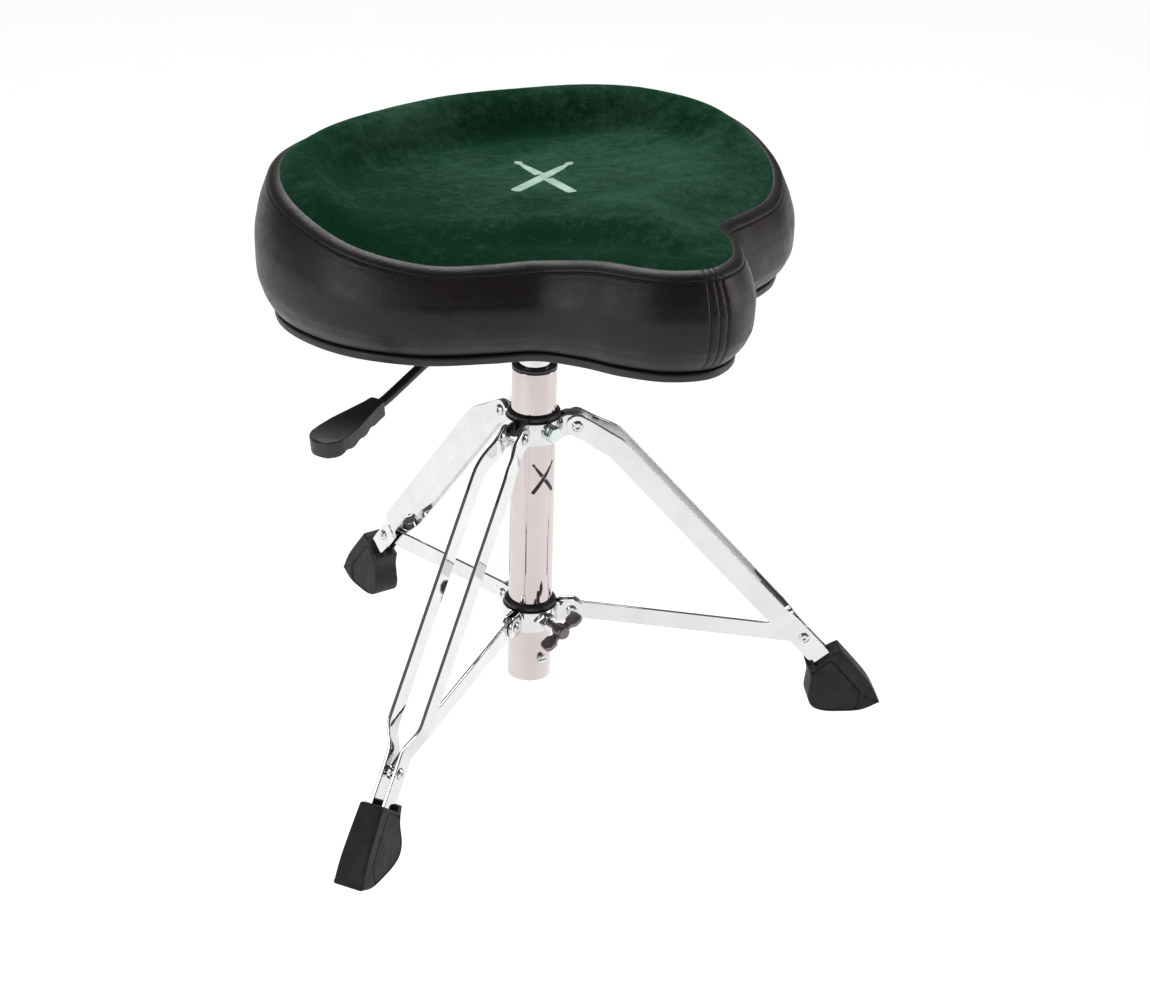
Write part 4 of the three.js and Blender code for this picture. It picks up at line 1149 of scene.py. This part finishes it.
def boot():
    """A moulded rubber hoof with a groove on each side."""
    outline = np.vstack([catmull(BOOT_SOLE, 6), catmull(BOOT_TOE, 6)[1:], BOOT_SOLE[:1]])
    outline = resampled(outline, 1.2)[:-1]
    outline[:, 1] = np.maximum(outline[:, 1], 0)
    normal = loop_normals(outline)

    def half(points):
        return BOOT_HALF_SOLE + (BOOT_HALF_TOP - BOOT_HALF_SOLE) * np.clip(points[:, 1] / BOOT_TOP_Z, 0, 1)

    side = []
    for a in np.radians((0, 20, 40, 60, 80)):
        flat = outline - normal * BOOT_EDGE * (1 - math.cos(a))
        side.append((flat, half(flat) - BOOT_EDGE * (1 - math.sin(a))))
    rim = outline - normal * BOOT_EDGE
    for share in np.linspace(1, 0.02, 34):
        flat = BOOT_MIDDLE + (rim - BOOT_MIDDLE) * share
        side.append((flat, half(flat) - boot_relief(flat)))
    loops = [np.column_stack([flat[:, 0], out, flat[:, 1]]) for flat, out in reversed(side)]
    loops += [np.column_stack([flat[:, 0], -out, flat[:, 1]]) for flat, out in side]
    return loft(loops)


def boot_notch():
    """The cutter for the notch across the boot's mouth, square to the bars: it leaves a post at each end."""
    down = np.array(FOOT_END, float) - STRUT_PIVOT
    down /= np.linalg.norm(down)
    aside = np.array([-down[1], down[0]])
    corners = [BOOT_MOUTH + down * depth + aside * out * BOOT_NOTCH_HALF
               for depth, out in ((-20, -1), (-20, 1), (BOOT_NOTCH_DEPTH, 1), (BOOT_NOTCH_DEPTH, -1))]
    return loft([[(r, side, z) for r, z in corners] for side in (-30, 30)])


def leg_piece(side, name, part, body, slot, node, work=None):
    """A piece of the leg on that side."""
    add_piece(f"{side}_{name}", part, body, slot, f"{side}_{node}", azimuth=LEG_AZIMUTHS[side], work=work)


def legs():
    """Three legs with their struts, boots and rivets, from parts that are made once and turned."""
    bars, studs = [leg_bar(1), leg_bar(-1)], [foot_rivet(1), foot_rivet(-1)]
    hoof, notch, strut = boot(), boot_notch(), strut_bar()
    bush = across(lathe([(0, -3.7), (4.2, -3.7), (4.2, 3.7), (0, 3.7)], 36, 0.3), STRUT_PIVOT)
    leg_rivet = tubular_rivet(LEG_PIVOT, BAR_SIDE_TOP + BAR_THICKNESS / 2 + 0.1)
    strut_rivet = tubular_rivet(COLLAR_PIVOT, 4.8)
    for side, azimuth in LEG_AZIMUTHS.items():
        on_leg, on_strut = f"{side}_leg", f"{side}_strut"
        for i in (0, 1):
            leg_piece(side, f"bar_{i + 1}", bars[i], on_leg, "chrome", f"leg_bar_{i + 1}", flat_sided)
            leg_piece(side, f"foot_pin_{i + 1}", studs[i], on_leg, "bright_steel", f"foot_rivet_{i + 1}")
        cutter = turned_round(notch, azimuth)
        leg_piece(side, "rubber_boot", hoof, on_leg, "black_rubber", "boot",
                  lambda piece: carved(piece, cutter))
        leg_piece(side, "strut_bar", strut, on_strut, "chrome", "strut", flat_sided)
        leg_piece(side, "strut_bar_bush", bush, on_strut, "bright_steel", "strut_bush")
        leg_piece(side, "leg_pin", leg_rivet, "column", "bright_steel", "leg_rivet")
        leg_piece(side, "strut_pin", strut_rivet, "sliding_collar", "bright_steel", "strut_rivet")


# ---------- seat mechanism and lever ----------
def hub():
    """The cast socket under the seat, with the two ears that hold the lever."""
    bore = CYLINDER_BORE_R
    socket = lathe([(bore, HUB_BOTTOM), (19, HUB_BOTTOM), (20.5, 350), (28.5, 367), (29, 371), (29, HUB_TOP),
                    (bore, HUB_TOP)], 96, 1.5)
    ear = fillet([(26, 376.1), (42, 376.1), (47, 384), (47, 398.1), (26, 398.1)], 4, 4)
    cast = joined(socket, plate(ear, 5, 8), plate(ear, -8, -5))
    add_piece("seat_hub_socket", cast, "seat", "black_steel", "seat_hub", azimuth=LEVER_AZIMUTH)


def lever():
    """A round rod bent along its route, and a flat grip with finger dips that droops with the rod's end."""
    angles = np.arange(20) * 2 * math.pi / 20
    circle = [(LEVER_ROD_R * math.sin(a), LEVER_ROD_R * math.cos(a)) for a in angles]
    rod = swept(catmull(LEVER_ROUTE, 10), lambda s: circle)
    add_piece("lever_rod_bar", rod, "lever", "black_steel", "lever_rod", azimuth=LEVER_AZIMUTH)

    swell = [(0, 6.4), (10, 7.4), (24, 10.3), (40, 13.6), (54, 15), (62, 14.4)]
    nose = GRIP_NOSE + GRIP_NOSE_R * np.sin(np.linspace(0, 1.54, 16))
    sections = []
    for x in np.concatenate([[0, 0.25, 0.8, 1.6, GRIP_BACK], np.arange(4, GRIP_NOSE, 1.5), nose]):
        wide = round_end(GRIP_NOSE_R, x - GRIP_NOSE, 0.2) if x > GRIP_NOSE else np.interp(x, *zip(*swell))
        if x < GRIP_BACK:
            wide *= math.sqrt(max(1 - ((GRIP_BACK - x) / GRIP_BACK) ** 2, 0.55))
        bottom = GRIP_BOTTOM + sum(1.9 * math.exp(-((x - dip) / 4.6) ** 2) for dip in GRIP_DIPS)
        inset = 1.4 * (1 - math.sqrt(min(1, x / 2, (GRIP_LENGTH - x) / 2)))
        low, high = bottom + inset, GRIP_TOP - inset
        section = fillet([(wide, low), (wide, high), (-wide, high), (-wide, low)], 1.7, 4)
        sections.append([(x, y, z) for y, z in section])
    grip = loft(sections)
    start, end = np.array(LEVER_ROUTE[-2:])
    droop = math.degrees(math.atan2(start[1] - end[1], end[0] - start[0]))
    grip[0][:, ::2] = rotated(grip[0][:, ::2], -droop) + start
    add_piece("lever_grip_paddle", grip, "lever", "black_plastic", "lever_grip", azimuth=LEVER_AZIMUTH)


column()
tube_motif()
tube_screw()
collars()
wing_screw()
legs()
hub()
lever()
